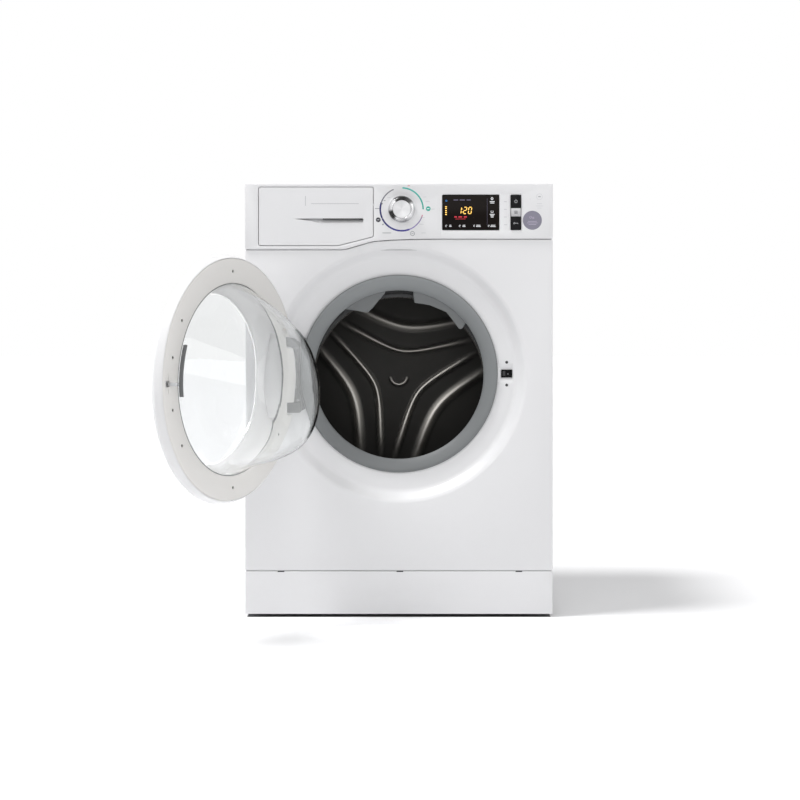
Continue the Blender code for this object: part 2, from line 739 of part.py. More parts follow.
def make_door_rings():
    """The white outer shell with its grip pocket, and the flat ring that faces the machine."""
    centre = (0.0, 0.0, PORT_Z)
    back = FRAME_BACK_Y - GAP
    lip = -0.0400
    outer = [(back, FRAME_RADIUS + 0.0028), *door_slope(0.0), (lip, WINDOW_RADIUS + 0.0010)]
    inner = [(lip + DOOR_WALL, WINDOW_RADIUS + 0.0020), *reversed(door_slope(DOOR_WALL)), (back, FRAME_RADIUS + 0.0004)]
    shell = place("door_outer_ring", turned(outer + inner, centre), white_plastic, door)
    pocket_low, pocket_high = grip_pocket()
    skin_wall = Vector((0.0025, 0.0025, 0.0025))
    tray_low = Vector((pocket_low.x, -DOOR_BULGE + 0.0005, pocket_low.z)) - Vector((skin_wall.x, 0, skin_wall.z))
    unite(shell, block(tray_low, pocket_high + skin_wall))
    cut(shell, block((pocket_low.x, -0.0600, pocket_low.z), pocket_high))
    beyond = [(y - 0.0001, radius + 0.0003) for y, radius in door_slope(0.0)]
    beyond = [(back + 0.01, beyond[0][1]), *beyond, (-0.0700, WINDOW_RADIUS), (-0.0700, 0.3), (back + 0.01, 0.3)]
    cut(shell, turned(beyond, centre))
    cut(shell, hinge_relief(-ARM_HIGH - 0.002, ARM_HIGH + 0.002))

    ring = [
        (FRAME_BACK_Y, GLASS_RADIUS + 0.0010), (FRAME_FACE_Y, GLASS_RADIUS + 0.0020),
        (FRAME_FACE_Y, FRAME_RADIUS - 0.0022), (FRAME_FACE_Y - 0.0015, FRAME_RADIUS),
        (FRAME_BACK_Y, FRAME_RADIUS),
    ]
    frame = place("door_inner_frame", turned(ring, centre), frame_plastic, door)
    cut(frame, *arm_reliefs())
    cut(frame, block((LATCH_X - 0.0070, -0.01, PORT_Z - 0.0070), (LATCH_X + 0.0070, 0.02, PORT_Z + 0.0070)))


def grip_pocket():
    """The hollow behind the door handle, as low and high corners."""
    return Vector((0.1630, -0.0430, PORT_Z - 0.0475)), Vector((0.2065, -0.0145, PORT_Z + 0.0475))


def make_glass():
    """The glass bowl: its floor leans, so that it is deepest at the bottom."""
    rings = [
        # y, radius, drop of the centre, lean in degrees
        (GLASS_THICKNESS, GLASS_FLANGE_RADIUS, 0.0, 0.0),
        (GLASS_THICKNESS, GLASS_RADIUS, 0.0, 0.0),
        (0.0120, GLASS_RADIUS - 0.0055, 0.0, 0.0),
        (0.0300, GLASS_RADIUS - 0.0155, 0.0010, 0.0),
        (0.0600, 0.1470, 0.0050, 1.0),
        (0.0900, 0.1310, 0.0100, 2.3),
        (0.1140, 0.1130, 0.0140, 3.4),
        (0.1260, 0.0950, 0.0170, 4.6),
        (0.1310, 0.0750, 0.0180, 5.1),
    ]
    loops = []
    for y, radius, drop, lean in rings:
        tilt = math.tan(math.radians(lean))
        loops.append([
            (x, y - tilt * z, PORT_Z - drop + z) for x, z in circle((0, 0), radius, ROUND)
        ])
    bowl = place("door_glass", skin(loops), clear_glass, door)
    thicken(bowl, GLASS_THICKNESS)

    window = [
        (-0.0430, 0.0), (-0.0422, 0.0800), (-0.0390, WINDOW_RADIUS),
        (-0.0360, WINDOW_RADIUS), (-0.0392, 0.0800), (-0.0400, 0.0),
    ]
    place("door_window", turned(window, (0, 0, PORT_Z)), clear_glass, door)


def make_handle_and_latch():
    """The lever that opens the door and the hook that it lets go."""
    pocket_low, pocket_high = grip_pocket()
    section = [
        (pocket_low.x + 0.0190, -0.0350), (pocket_high.x - 0.0033, -0.0240),
        (pocket_high.x - 0.0033, -0.0190), (pocket_low.x + 0.0190, -0.0300),
    ]
    lever = prism(section, pocket_low.z + 0.0010, pocket_high.z - 0.0010, "Z")
    ease_edges(place("door_handle", lever, grey_plastic, handle), 0.0015)

    half = 0.0025
    tip = RECESS_DEPTH + 0.0130
    hook = [
        (LATCH_X - half, -0.0050), (LATCH_X + half, -0.0050), (LATCH_X + half, tip),
        (LATCH_X - half - 0.0040, tip - 0.0035), (LATCH_X - half - 0.0040, tip - 0.0060),
        (LATCH_X - half, tip - 0.0060),
    ]
    place("latch_hook", prism(hook, PORT_Z - 0.0030, PORT_Z + 0.0030, "Z"), zinc_steel, latch)


def make_hinge():
    """The bracket with two swan-neck arms on the cabinet, the pin, and the leaf on the door."""
    elbow = HINGE_X + ARM_REACH
    half = ARM_THICKNESS / 2
    plate_face = RECESS_DEPTH - 0.0055
    centre = (0.0, PORT_Z)
    outline = arc(centre, 0.2145, 159.0, 201.0, 10) + arc(centre, 0.1945, 201.0, 159.0, 10)
    bracket = place("hinge_bracket", prism(outline, plate_face, RECESS_DEPTH - GAP), grey_plastic, machine)
    neck = [
        (HINGE_X, HINGE_Y - half), (elbow + half, HINGE_Y - half), (elbow + half, plate_face + 0.002),
        (elbow - half, plate_face + 0.002), (elbow - half, HINGE_Y + half), (HINGE_X, HINGE_Y + half),
    ]
    for side in (1, -1):
        low, high = sorted((PORT_Z + side * ARM_LOW, PORT_Z + side * ARM_HIGH))
        unite(bracket, prism(neck, low, high, "Z"))
        unite(bracket, rod(HINGE_POINT, KNUCKLE_RADIUS, low + 0.0001, high - 0.0001, "Z"))
    bore = PIN_RADIUS + 0.0004
    cut(bracket, rod(HINGE_POINT, bore, PORT_Z - 0.1, PORT_Z + 0.1, "Z"))

    reach = ARM_HIGH + 0.0020
    place("hinge_pin", rod(HINGE_POINT, PIN_RADIUS, PORT_Z - reach, PORT_Z + reach, "Z"), zinc_steel, machine)

    leaf_half = ARM_LOW - 0.0030
    leaf_back = FRAME_BACK_Y - GAP
    leaf = place(
        "door_hinge_leaf",
        rod(HINGE_POINT, KNUCKLE_RADIUS, PORT_Z - leaf_half, PORT_Z + leaf_half, "Z"), zinc_steel, door,
    )
    plate = [
        (HINGE_X, HINGE_Y - 0.0030), (elbow, HINGE_Y - 0.0030), (elbow, leaf_back),
        (elbow - 0.0160, leaf_back), (elbow - 0.0160, leaf_back - 0.0040),
        (elbow - 0.0040, leaf_back - 0.0040), (elbow - 0.0040, HINGE_Y + 0.0030), (HINGE_X, HINGE_Y + 0.0030),
    ]
    unite(leaf, prism(plate, PORT_Z - leaf_half + 0.0010, PORT_Z + leaf_half - 0.0010, "Z"))
    cut(leaf, rod(HINGE_POINT, bore, PORT_Z - 0.1, PORT_Z + 0.1, "Z"))


NECK_RADIUS = 0.1780


def make_seal():
    """The rubber bellows between the front panel's porthole and the tub's neck."""
    hole = PORT_RADIUS - 0.0012
    cuff = NECK_RADIUS + 0.0004
    profile = [
        (0.0150, PORT_RADIUS + 0.0030), (0.0140, PORT_RADIUS - 0.0005), (0.0150, 0.1840),
        (0.0210, 0.1715), (0.0300, 0.1660), (0.0345, 0.1680), (0.0400, 0.1760),
        (0.0480, 0.1812), (0.0640, cuff), (0.0785, cuff),
        (0.0785, cuff + 0.0027), (0.0645, cuff + 0.0027), (0.0480, 0.1842),
        (0.0380, 0.1785), (0.0325, 0.1705), (0.0300, 0.1692), (0.0235, 0.1740),
        (0.0215, 0.1850), (0.0240, hole), (RECESS_DEPTH - 0.0004, hole),
        (RECESS_DEPTH - 0.0004, PORT_RADIUS + 0.0030),
    ]
    seal = turned(profile, (0, 0, PORT_Z))
    start, end = 0.0255, 0.0640
    for v in seal.verts:
        v.co.z -= DRUM_DROP * min(1.0, max(0.0, (v.co.y - start) / (end - start)))
    place("door_seal", seal, grey_rubber, machine)


# ---- Tub, drum and drive -----------------------------------------------------------------------
def make_tub():
    """The two halves of the tub, with the bearing boss at the back."""
    axis = (0.0, 0.0, DRUM_Z)
    inside = TUB_RADIUS - TUB_WALL
    flange = TUB_RADIUS + TUB_FLANGE
    neck_inside = NECK_RADIUS - 0.0060
    front = [
        (0.0660, neck_inside), (0.0660, NECK_RADIUS), (TUB_FRONT, NECK_RADIUS),
        (TUB_FRONT, TUB_RADIUS - 0.0070), (TUB_FRONT + 0.0055, TUB_RADIUS),
        (TUB_JOINT - 0.0080, TUB_RADIUS), (TUB_JOINT - 0.0080, flange), (TUB_JOINT, flange),
        (TUB_JOINT, inside), (TUB_FRONT + 0.0065, inside),
        (TUB_FRONT + 0.0040, inside - 0.0040), (TUB_FRONT + 0.0040, neck_inside),
    ]
    place("tub_front", turned(front, axis), tub_plastic, tub)

    start = TUB_JOINT + GAP
    rear = [
        (start, flange), (start + 0.0080, flange), (start + 0.0080, TUB_RADIUS),
        (TUB_REAR - 0.0050, TUB_RADIUS), (TUB_REAR, TUB_RADIUS - 0.0070), (TUB_REAR, 0.0480),
        (BOSS_REAR, 0.0440), (BOSS_REAR, 0.0265), (TUB_REAR + 0.0095, 0.0265), (TUB_REAR + 0.0095, 0.0200),
        (TUB_REAR + 0.0060, 0.0200), (TUB_REAR + 0.0060, 0.0315), (TUB_REAR - 0.0100, 0.0315), (TUB_REAR - 0.0100, 0.0480),
        (TUB_REAR - 0.0050, 0.0520), (TUB_REAR - 0.0050, inside - 0.0050),
        (TUB_REAR - 0.0100, inside), (start, inside),
    ]
    back = place("tub_rear", turned(rear, axis), tub_plastic, tub)
    for side in (1, -1):
        x = sorted((side * 0.2310, side * 0.2720))
        unite(back, block((x[0], SPRING_Y - 0.012, LUG_Z - 0.008), (x[1], SPRING_Y + 0.012, LUG_Z)))

    ends = (TUB_REAR - 0.0097, TUB_REAR + 0.0057)
    place("bearing_front", sleeve(axis, SHAFT_FRONT_RADIUS + 0.0003, 0.0312, *ends), zinc_steel, tub)
    ends = (TUB_REAR + 0.0098, TUB_REAR + 0.0248)
    place("bearing_rear", sleeve(axis, SHAFT_REAR_RADIUS + 0.0003, 0.0262, *ends), zinc_steel, tub)


def make_counterweights():
    """The cast ring in front of the tub, open below, and the block on top."""
    centre = (0.0, DRUM_Z)
    inner, outer = 0.2030, 0.2620
    outline = arc(centre, outer, -40.0, 220.0, 30) + arc(centre, inner, 220.0, -40.0, 30)
    place("front_counterweight", prism(outline, TUB_FRONT - 0.0290, TUB_FRONT - GAP), cast_iron, tub)

    left, right, top = -0.0300, 0.1750, 0.7900
    radius = TUB_RADIUS + 0.0005
    start = math.degrees(math.acos(left / radius))
    end = math.degrees(math.acos(right / radius))
    saddle = arc(centre, radius, start, end, 12)
    outline = saddle + [(right, top), (left, top)]
    place("top_counterweight", prism(outline, 0.1050, 0.2050), cast_iron, tub)


def tube_through(name, points, radius, material, holder, sides=2):
    """A round bar along a line of points, with closed ends."""
    curve = bpy.data.curves.new(name, "CURVE")
    curve.dimensions = "3D"
    curve.bevel_depth = radius
    curve.bevel_resolution = sides
    curve.use_fill_caps = True
    spline = curve.splines.new("POLY")
    spline.points.add(len(points) - 1)
    base = Vector(holder["axis_point"])
    for target, point in zip(spline.points, points):
        target.co = (*(Vector(point) - base), 1.0)
    curve.materials.append(material)
    item = bpy.data.objects.new(name, curve)
    bpy.context.scene.collection.objects.link(item)
    item.parent = holder
    return item


def make_heater():
    """The immersion heater: a bent rod under the drum."""
    radius = 0.5 * (DRUM_RADIUS + TUB_RADIUS - TUB_WALL)
    half = 0.0380
    z = DRUM_Z - math.sqrt(radius**2 - half**2)
    bend_y, back_y = 0.1700, TUB_REAR - 0.0140
    bend = [(x, y, z) for x, y in arc((0.0, bend_y), half, 0.0, -180.0, 12)]
    points = [(half, back_y, z), *bend, (-half, back_y, z)]
    tube_through("heater", points, 0.0030, zinc_steel, tub, sides=1)


SPRING_X = 0.2580
SPRING_Y = TUB_REAR - 0.1000
SPRING_RADIUS = 0.0090
LUG_Z = DRUM_Z + 0.1090
DAMPER_X = 0.1750
DAMPER_Y = 0.2300


def make_suspension():
    """The springs that the tub hangs on and the friction dampers under it."""
    wire = 0.0015
    turns, per_turn = 10, 8
    low = LUG_Z + wire + GAP
    high = FLANGE_TOP - SHEET - wire - GAP
    for name, side in (("left", -1), ("right", 1)):
        points = []
        for i in range(turns * per_turn + 1):
            angle = 2 * math.pi * i / per_turn
            points.append((
                side * SPRING_X + SPRING_RADIUS * math.cos(angle),
                SPRING_Y + SPRING_RADIUS * math.sin(angle),
                low + (high - low) * i / (turns * per_turn),
            ))
        tube_through("spring_" + name, points, wire, zinc_steel, machine, sides=0)

        x = side * DAMPER_X
        floor = PAN_BOTTOM + 0.0035 + GAP
        case = [(floor, 0.0), (floor, 0.0150), (0.1650, 0.0150), (0.1650, 0.0095), (0.0600, 0.0095), (0.0600, 0.0)]
        bm = turned(case, (x, DAMPER_Y, 0.0), "Z", SMALL_ROUND)
        place("damper_case_" + name, bm, grey_plastic, machine)
        top = DRUM_Z - math.sqrt((TUB_RADIUS + GAP) ** 2 - (DAMPER_X - 0.0085) ** 2)
        bm = rod((x, DAMPER_Y, 0), 0.0085, 0.0750, top - 0.0010, "Z")
        place("damper_rod_" + name, bm, zinc_steel, tub)


def make_drum():
    """The drum's shell, its back, three lifters, and the spider with the shaft."""
    axis = (0.0, 0.0, DRUM_Z)
    inside = DRUM_RADIUS - SHEET
    shell = [
        (DRUM_FRONT - 0.0010, DRUM_MOUTH_RADIUS), (DRUM_FRONT - 0.0010, 0.1745),
        (DRUM_FRONT + 0.0010, 0.1775), (0.1000, DRUM_RADIUS - 0.0080), (0.1080, DRUM_RADIUS),
        (DRUM_REAR, DRUM_RADIUS), (DRUM_REAR, inside), (0.1086, inside),
        (0.1014, inside - 0.0072), (DRUM_FRONT + 0.0026, 0.1770), (DRUM_FRONT + 0.0026, DRUM_MOUTH_RADIUS),
    ]
    place("drum_shell", turned(shell, axis), drum_steel, drum)

    rim = inside - 0.0006
    face = DRUM_REAR - 0.0035
    back = [
        (face - 0.0040, 0.0), (face - 0.0040, 0.0260), (face, 0.0320), (face, rim - 0.0016),
        (face - 0.0100, rim - 0.0016), (face - 0.0100, rim), (face + 0.0016, rim), (face + 0.0016, 0.0),
    ]
    place("drum_back", turned(back, axis), drum_steel, drum)

    base = math.sqrt((inside - 0.0008) ** 2 - 0.0300**2)
    tip = inside - LIFTER_HEIGHT
    section = [
        (-0.0300, base), (-0.0230, base - 0.0180), (-0.0100, tip + 0.0040), (0.0, tip),
        (0.0100, tip + 0.0040), (0.0230, base - 0.0180), (0.0300, base),
    ]
    for i in range(3):
        bm = prism([(x, -z) for x, z in section], 0.1250, face - 0.0120)
        turn = Matrix.Translation(axis) @ Matrix.Rotation(math.radians(120 * i), 4, "Y")
        bmesh.ops.transform(bm, matrix=turn, verts=bm.verts)
        place(f"lifter_{i + 1}", bm, grey_plastic, drum)

    start = DRUM_REAR - 0.0015
    step = TUB_REAR + 0.0080
    spider = [
        (start, 0.0), (start, 0.0400), (start + 0.0200, 0.0360), (start + 0.0270, 0.0240),
        (start + 0.0270, SHAFT_FRONT_RADIUS), (step, SHAFT_FRONT_RADIUS), (step, SHAFT_REAR_RADIUS),
        (BOSS_REAR + 0.0020, SHAFT_REAR_RADIUS), (BOSS_REAR + 0.0020, SHAFT_END_RADIUS),
        (PULLEY_BACK + 0.0090, SHAFT_END_RADIUS),
        (PULLEY_BACK + 0.0090, 0.0),
    ]
    hub = place("drum_spider", turned(spider, axis, steps=SMALL_ROUND), cast_alloy, drum)
    for i in range(3):
        arm = [(-0.0240, 0.0200), (0.0240, 0.0200), (0.0120, inside - 0.0060), (-0.0120, inside - 0.0060)]
        bm = prism(arm, start + 0.0002, start + 0.0140)
        turn = Matrix.Translation(axis) @ Matrix.Rotation(math.radians(120 * i + 60), 4, "Y")
        bmesh.ops.transform(bm, matrix=turn, verts=bm.verts)
        unite(hub, bm)


def tangent_loop(high, high_radius, low, low_radius, steps):
    """The outline of a belt round two wheels, one above the other."""
    lean = math.degrees(math.asin((high_radius - low_radius) / (high[1] - low[1])))
    over = arc(high, high_radius, -lean, 180.0 + lean, steps)
    under = arc(low, low_radius, 180.0 + lean, 360.0 - lean, steps // 2)
    return over + under


def make_drive():
    """The motor under the tub, both pulleys and the belt."""
    axis = (0.0, 0.0, DRUM_Z)
    motor_axis = (0.0, 0.0, MOTOR_Z)
    middle = 0.5 * (PULLEY_FRONT + PULLEY_BACK)
    bore = SHAFT_END_RADIUS + 0.0004
    wheel = [
        (PULLEY_FRONT - 0.0020, bore), (PULLEY_FRONT - 0.0020, 0.0210), (middle - 0.0020, 0.0240),
        (middle - 0.0020, PULLEY_RADIUS - 0.0070), (PULLEY_FRONT, PULLEY_RADIUS - 0.0050),
        (PULLEY_FRONT, PULLEY_RADIUS), (PULLEY_BACK, PULLEY_RADIUS), (PULLEY_BACK, PULLEY_RADIUS - 0.0050),
        (middle + 0.0020, PULLEY_RADIUS - 0.0070), (middle + 0.0020, 0.0240),
        (PULLEY_BACK + 0.0020, 0.0210), (PULLEY_BACK + 0.0020, bore),
    ]
    pulley = place("drum_pulley", turned(wheel, axis), cast_alloy, drum)
    for i in range(5):
        angle = 2 * math.pi * i / 5
        hole = (0.0850 * math.sin(angle), 0.0, DRUM_Z + 0.0850 * math.cos(angle))
        cut(pulley, rod(hole, 0.0340, PULLEY_FRONT - 0.01, PULLEY_BACK + 0.01, steps=12))

    face = MOTOR_BACK - MOTOR_LENGTH
    case = [
        (face, 0.0), (face, MOTOR_RADIUS - 0.0120), (face + 0.0080, MOTOR_RADIUS),
        (MOTOR_BACK - 0.0080, MOTOR_RADIUS), (MOTOR_BACK, MOTOR_RADIUS - 0.0120), (MOTOR_BACK, 0.0),
    ]
    motor = place("motor", turned(case, motor_axis, steps=32), cast_alloy, tub)
    saddle = (MOTOR_BACK - 0.1030, MOTOR_BACK - 0.0330)
    unite(motor, block((-0.0450, saddle[0], MOTOR_Z + 0.0300), (0.0450, saddle[1], DRUM_Z - TUB_RADIUS - GAP)))

    spindle = [
        (MOTOR_BACK + GAP, 0.0), (MOTOR_BACK + GAP, 0.0060), (PULLEY_FRONT, 0.0060), (PULLEY_FRONT, MOTOR_PULLEY_RADIUS),
        (PULLEY_BACK, MOTOR_PULLEY_RADIUS), (PULLEY_BACK, 0.0),
    ]
    place("motor_pulley", turned(spindle, motor_axis, steps=SMALL_ROUND), zinc_steel, rotor)

    slack = 0.0004
    loops = [
        tangent_loop(
            (0.0, DRUM_Z), PULLEY_RADIUS + slack + extra, (0.0, MOTOR_Z), MOTOR_PULLEY_RADIUS + slack + extra, ROUND,
        )
        for extra in (BELT_THICKNESS, 0.0)
    ]
    bm = prism(loops[0], PULLEY_FRONT + 0.0025, PULLEY_BACK - 0.0025, holes=(loops[1],))
    place("drive_belt", bm, black_rubber, tub)


def make_pump():
    """The drain pump and the filter that screws into it from the front."""
    mouth, throat = 0.0240, 0.0700
    body = [
        (mouth, 0.0300), (mouth, 0.0330), (0.0740, 0.0330), (0.0760, 0.0370), (0.1150, 0.0370),
        (0.1170, 0.0250), (0.1700, 0.0250), (0.1700, 0.0), (throat, 0.0), (throat, 0.0300),
    ]
    place("drain_pump", turned(body, FILTER_CENTRE, steps=32), grey_plastic, machine)
    holder = carrier("filter_axis", FILTER_CENTRE, machine)
    cap = [
        (0.0180, 0.0), (0.0180, 0.0285), (0.0235, 0.0292), (0.0260, 0.0292), (0.0260, 0.0260),
        (throat - 0.0040, 0.0250), (throat - 0.0040, 0.0),
    ]
    filter_cap = place("filter_cap", turned(cap, FILTER_CENTRE, steps=32), white_plastic, holder)
    x, _, z = FILTER_CENTRE
    unite(filter_cap, block((x - 0.0240, 0.0090, z - 0.0040), (x + 0.0240, 0.0200, z + 0.0040)))


make_side_panels()
make_back()
make_base()
make_feet()
make_worktop()
make_front_panel()
make_door_lock()
make_plinth()
make_fascia()
make_display()
make_control_board()
make_buttons()
make_knob()
make_dispenser_housing()
make_drawer()
make_door_rings()
make_glass()
make_handle_and_latch()
make_hinge()
make_seal()
make_tub()
make_counterweights()
make_heater()
make_suspension()
make_drum()
make_drive()
make_pump()
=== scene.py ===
"""Front load washing machine: the detailed pieces, their finishes and the stage.

Shapes are drawn in the machine's own coordinates, with the door shut: X from the cabinet's middle, Y from
the front panel's face, Z from the floor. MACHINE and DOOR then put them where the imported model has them.
"""

import json
import math

import bmesh  # noqa: E402
import bpy  # noqa: E402
from bpy.props import FloatProperty, FloatVectorProperty, IntProperty, PointerProperty  # noqa: E402
from mathutils import Matrix, Vector  # noqa: E402

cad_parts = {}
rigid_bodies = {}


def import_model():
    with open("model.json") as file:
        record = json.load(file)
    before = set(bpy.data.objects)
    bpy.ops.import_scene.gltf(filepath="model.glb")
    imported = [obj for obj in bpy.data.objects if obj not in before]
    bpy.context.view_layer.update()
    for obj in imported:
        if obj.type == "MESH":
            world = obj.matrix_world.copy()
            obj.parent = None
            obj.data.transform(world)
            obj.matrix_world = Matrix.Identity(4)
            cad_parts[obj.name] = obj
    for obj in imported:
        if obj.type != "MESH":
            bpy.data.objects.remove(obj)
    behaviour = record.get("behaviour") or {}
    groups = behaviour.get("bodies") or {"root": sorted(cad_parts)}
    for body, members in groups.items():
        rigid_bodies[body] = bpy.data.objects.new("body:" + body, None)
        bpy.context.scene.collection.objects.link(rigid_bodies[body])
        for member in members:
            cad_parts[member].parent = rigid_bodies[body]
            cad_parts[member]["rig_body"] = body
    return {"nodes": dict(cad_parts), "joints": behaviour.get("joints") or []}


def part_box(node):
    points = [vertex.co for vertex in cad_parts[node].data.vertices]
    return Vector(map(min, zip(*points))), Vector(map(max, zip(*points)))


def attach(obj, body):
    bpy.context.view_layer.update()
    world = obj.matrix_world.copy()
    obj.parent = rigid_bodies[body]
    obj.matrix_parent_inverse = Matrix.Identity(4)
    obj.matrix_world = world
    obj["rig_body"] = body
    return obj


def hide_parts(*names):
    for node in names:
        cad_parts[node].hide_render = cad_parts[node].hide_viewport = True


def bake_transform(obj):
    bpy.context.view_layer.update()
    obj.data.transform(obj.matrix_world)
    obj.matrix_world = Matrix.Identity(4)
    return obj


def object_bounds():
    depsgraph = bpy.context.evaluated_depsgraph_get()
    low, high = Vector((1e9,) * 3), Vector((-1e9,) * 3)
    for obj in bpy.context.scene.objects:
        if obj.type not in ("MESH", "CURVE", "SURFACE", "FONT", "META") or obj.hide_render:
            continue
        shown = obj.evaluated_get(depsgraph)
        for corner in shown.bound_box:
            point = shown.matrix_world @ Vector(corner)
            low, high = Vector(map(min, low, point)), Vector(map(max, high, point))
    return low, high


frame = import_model()
CAD_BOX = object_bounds()

bl_info = {
    "name": "Front Load Washing Machine",
    "version": (1, 0, 0),
    "blender": (4, 5, 0),
    "location": "View3D > Sidebar > Washer",
    "description": "Builds a detailed front load washing machine over its packed frame",
    "category": "Add Mesh",
}

JOINTS = {joint["name"]: joint for joint in frame["joints"]}
WORKTOP_LOW, WORKTOP_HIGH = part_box("worktop")
PANEL_LOW, PANEL_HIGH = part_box("front_panel")
MACHINE = Matrix.Translation(((WORKTOP_LOW.x + WORKTOP_HIGH.x) / 2, PANEL_LOW.y, 0.0))
HINGE = Vector(JOINTS["door_hinge"]["pos_m"])
DOOR_TURN = Matrix.Rotation(math.radians(JOINTS["door_hinge"]["range_deg"][0]), 4, "Z")
DOOR = Matrix.Translation(HINGE) @ DOOR_TURN @ Matrix.Translation(-HINGE) @ MACHINE
HINGE_AXIS = MACHINE.inverted() @ HINGE

HALF = (PANEL_HIGH.x - PANEL_LOW.x) / 2
PORT = HINGE.z
DRUM = Vector(JOINTS["drum_spin"]["pos_m"]).z
TOP = CAD_BOX[1][2]
FASCIA_FACE = -0.0030
GRAPHIC = 0.00025


# ---- Sizes and colours that a user may change --------------------------------------------------
def length(name, description, default):
    return FloatProperty(name=name, description=description, default=default, unit="LENGTH",
                         subtype="DISTANCE")


def colour(name, description, default):
    return FloatVectorProperty(
        name=name, description=description, default=default, subtype="COLOR", size=3, min=0.0, max=1.0,
    )


class WasherFinishes(bpy.types.PropertyGroup):
    enamel: colour("Enamel", "Colour of the painted steel", (0.79, 0.79, 0.80))
    moulding: colour("Moulding", "Colour of the white plastic", (0.80, 0.80, 0.81))
    door_ring: colour("Door ring", "Colour of the ring on the door's inner side", (0.84, 0.825, 0.80))
    seal: colour("Seal", "Colour of the rubber door seal", (0.190, 0.200, 0.204))
    drum: colour("Drum", "Colour of the stainless steel drum", (0.115, 0.110, 0.102))
    digits: colour("Digits", "Colour of the time on the display", (1.0, 0.60, 0.12))
    badge: colour("Sticker", "Colour of the round sticker", (0.235, 0.225, 0.285))


class WasherSizes(bpy.types.PropertyGroup):
    dish_outer: length("Dish outer radius", "Where the pressed dish round the porthole starts", 0.2500)
    dish_inner: length("Dish inner radius", "Where the pressed dish reaches its floor", 0.2270)
    dish_depth: length("Dish depth", "How far the dish is pressed in", 0.0180)
    port_radius: length("Porthole radius", "Radius of the hole in the front panel", 0.1905)
    seal_mouth: length("Seal mouth", "Inner radius of the door seal", 0.1660)
    knob_radius: length("Knob radius", "Outer radius of the programme knob's ring", 0.0262)
    scale_radius: length("Scale radius", "Radius of the coloured scale round the knob", 0.0418)
    ridge_height: length("Ridge height", "Height of the ridges on the drum's back", 0.0032)
    ring_steps: IntProperty(name="Ring steps", description="Steps round the large rings", default=128, min=48)


def sizes():
    return bpy.context.scene.washer_sizes


def finishes():
    return bpy.context.scene.washer_finishes


# ---- Materials ---------------------------------------------------------------------------------
class Graph:
    """A material's node tree, with short calls for the nodes that the finishes use."""

    def __init__(self, name):
        self.material = bpy.data.materials.new(name)
        self.material.use_nodes = True
        self.tree = self.material.node_tree
        self.shader = self.tree.nodes["Principled BSDF"]
        self.place = self.node("ShaderNodeTexCoord").outputs["Object"]

    def node(self, kind, **settings):
        made = self.tree.nodes.new(kind)
        for key, value in settings.items():
            setattr(made, key, value)
        return made

    def feed(self, socket, value):
        if isinstance(value, bpy.types.NodeSocket):
            self.tree.links.new(value, socket)
        else:
            socket.default_value = value

    def maths(self, operation, *values, clamp=False):
        made = self.node("ShaderNodeMath", operation=operation, use_clamp=clamp)
        for socket, value in zip(made.inputs, values):
            self.feed(socket, value)
        return made.outputs[0]

    def moved(self, location=(0, 0, 0), rotation=(0, 0, 0), scale=(1, 1, 1), kind="POINT"):
        made = self.node("ShaderNodeMapping", vector_type=kind)
        self.feed(made.inputs["Vector"], self.place)
        for key, value in (("Location", location), ("Rotation", rotation), ("Scale", scale)):
            made.inputs[key].default_value = value
        return made.outputs[0]

    def split(self, vector):
        """X, Y and Z of a vector."""
        made = self.node("ShaderNodeSeparateXYZ")
        self.feed(made.inputs[0], vector)
        return made.outputs

    def reach(self, first, second):
        """Distance from the origin of a plane, from its two coordinates."""
        return self.maths("SQRT", self.maths("ADD", self.maths("POWER", first, 2.0),
                                             self.maths("POWER", second, 2.0)))

    def noise(self, scale, detail=3.0, vector=None, roughness=0.5):
        made = self.node("ShaderNodeTexNoise")
        self.feed(made.inputs["Vector"], vector or self.place)
        made.inputs["Scale"].default_value = scale
        made.inputs["Detail"].default_value = detail
        made.inputs["Roughness"].default_value = roughness
        return made.outputs["Fac"]

    def between(self, value, low, high, source=(0.0, 1.0)):
        made = self.node("ShaderNodeMapRange")
        for key, number in zip(("From Min", "From Max", "To Min", "To Max"), (*source, low, high)):
            made.inputs[key].default_value = number
        self.feed(made.inputs["Value"], value)
        return made.outputs[0]

    def blend(self, factor, first, second):
        made = self.node("ShaderNodeMix", data_type="RGBA")
        self.feed(made.inputs["Factor"], factor)
        for socket, value in ((made.inputs[6], first), (made.inputs[7], second)):
            self.feed(socket, (*value, 1.0) if isinstance(value, tuple) else value)
        return made.outputs[2]

    def ramp(self, factor, stops, interpolation="LINEAR"):
        made = self.node("ShaderNodeValToRGB")
        made.color_ramp.interpolation = interpolation
        while len(made.color_ramp.elements) < len(stops):
            made.color_ramp.elements.new(1.0)
        for element, (position, value) in zip(made.color_ramp.elements, stops):
            element.position = position
            element.color = (*value, 1.0)
        self.feed(made.inputs["Fac"], factor)
        return made.outputs["Color"]

    def bump(self, height, strength, distance, below=None):
        made = self.node("ShaderNodeBump")
        made.inputs["Strength"].default_value = strength
        made.inputs["Distance"].default_value = distance
        self.feed(made.inputs["Height"], height)
        if below is not None:
            self.feed(made.inputs["Normal"], below)
        return made.outputs[0]

    def set(self, **inputs):
        for key, value in inputs.items():
            name = key.replace("_", " ")
            if isinstance(value, tuple) and len(value) == 3:
                value = (*value, 1.0)
            self.feed(self.shader.inputs[name], value)
        return self


def tint(shade, factor):
    return tuple(min(1.0, channel * factor) for channel in shade)


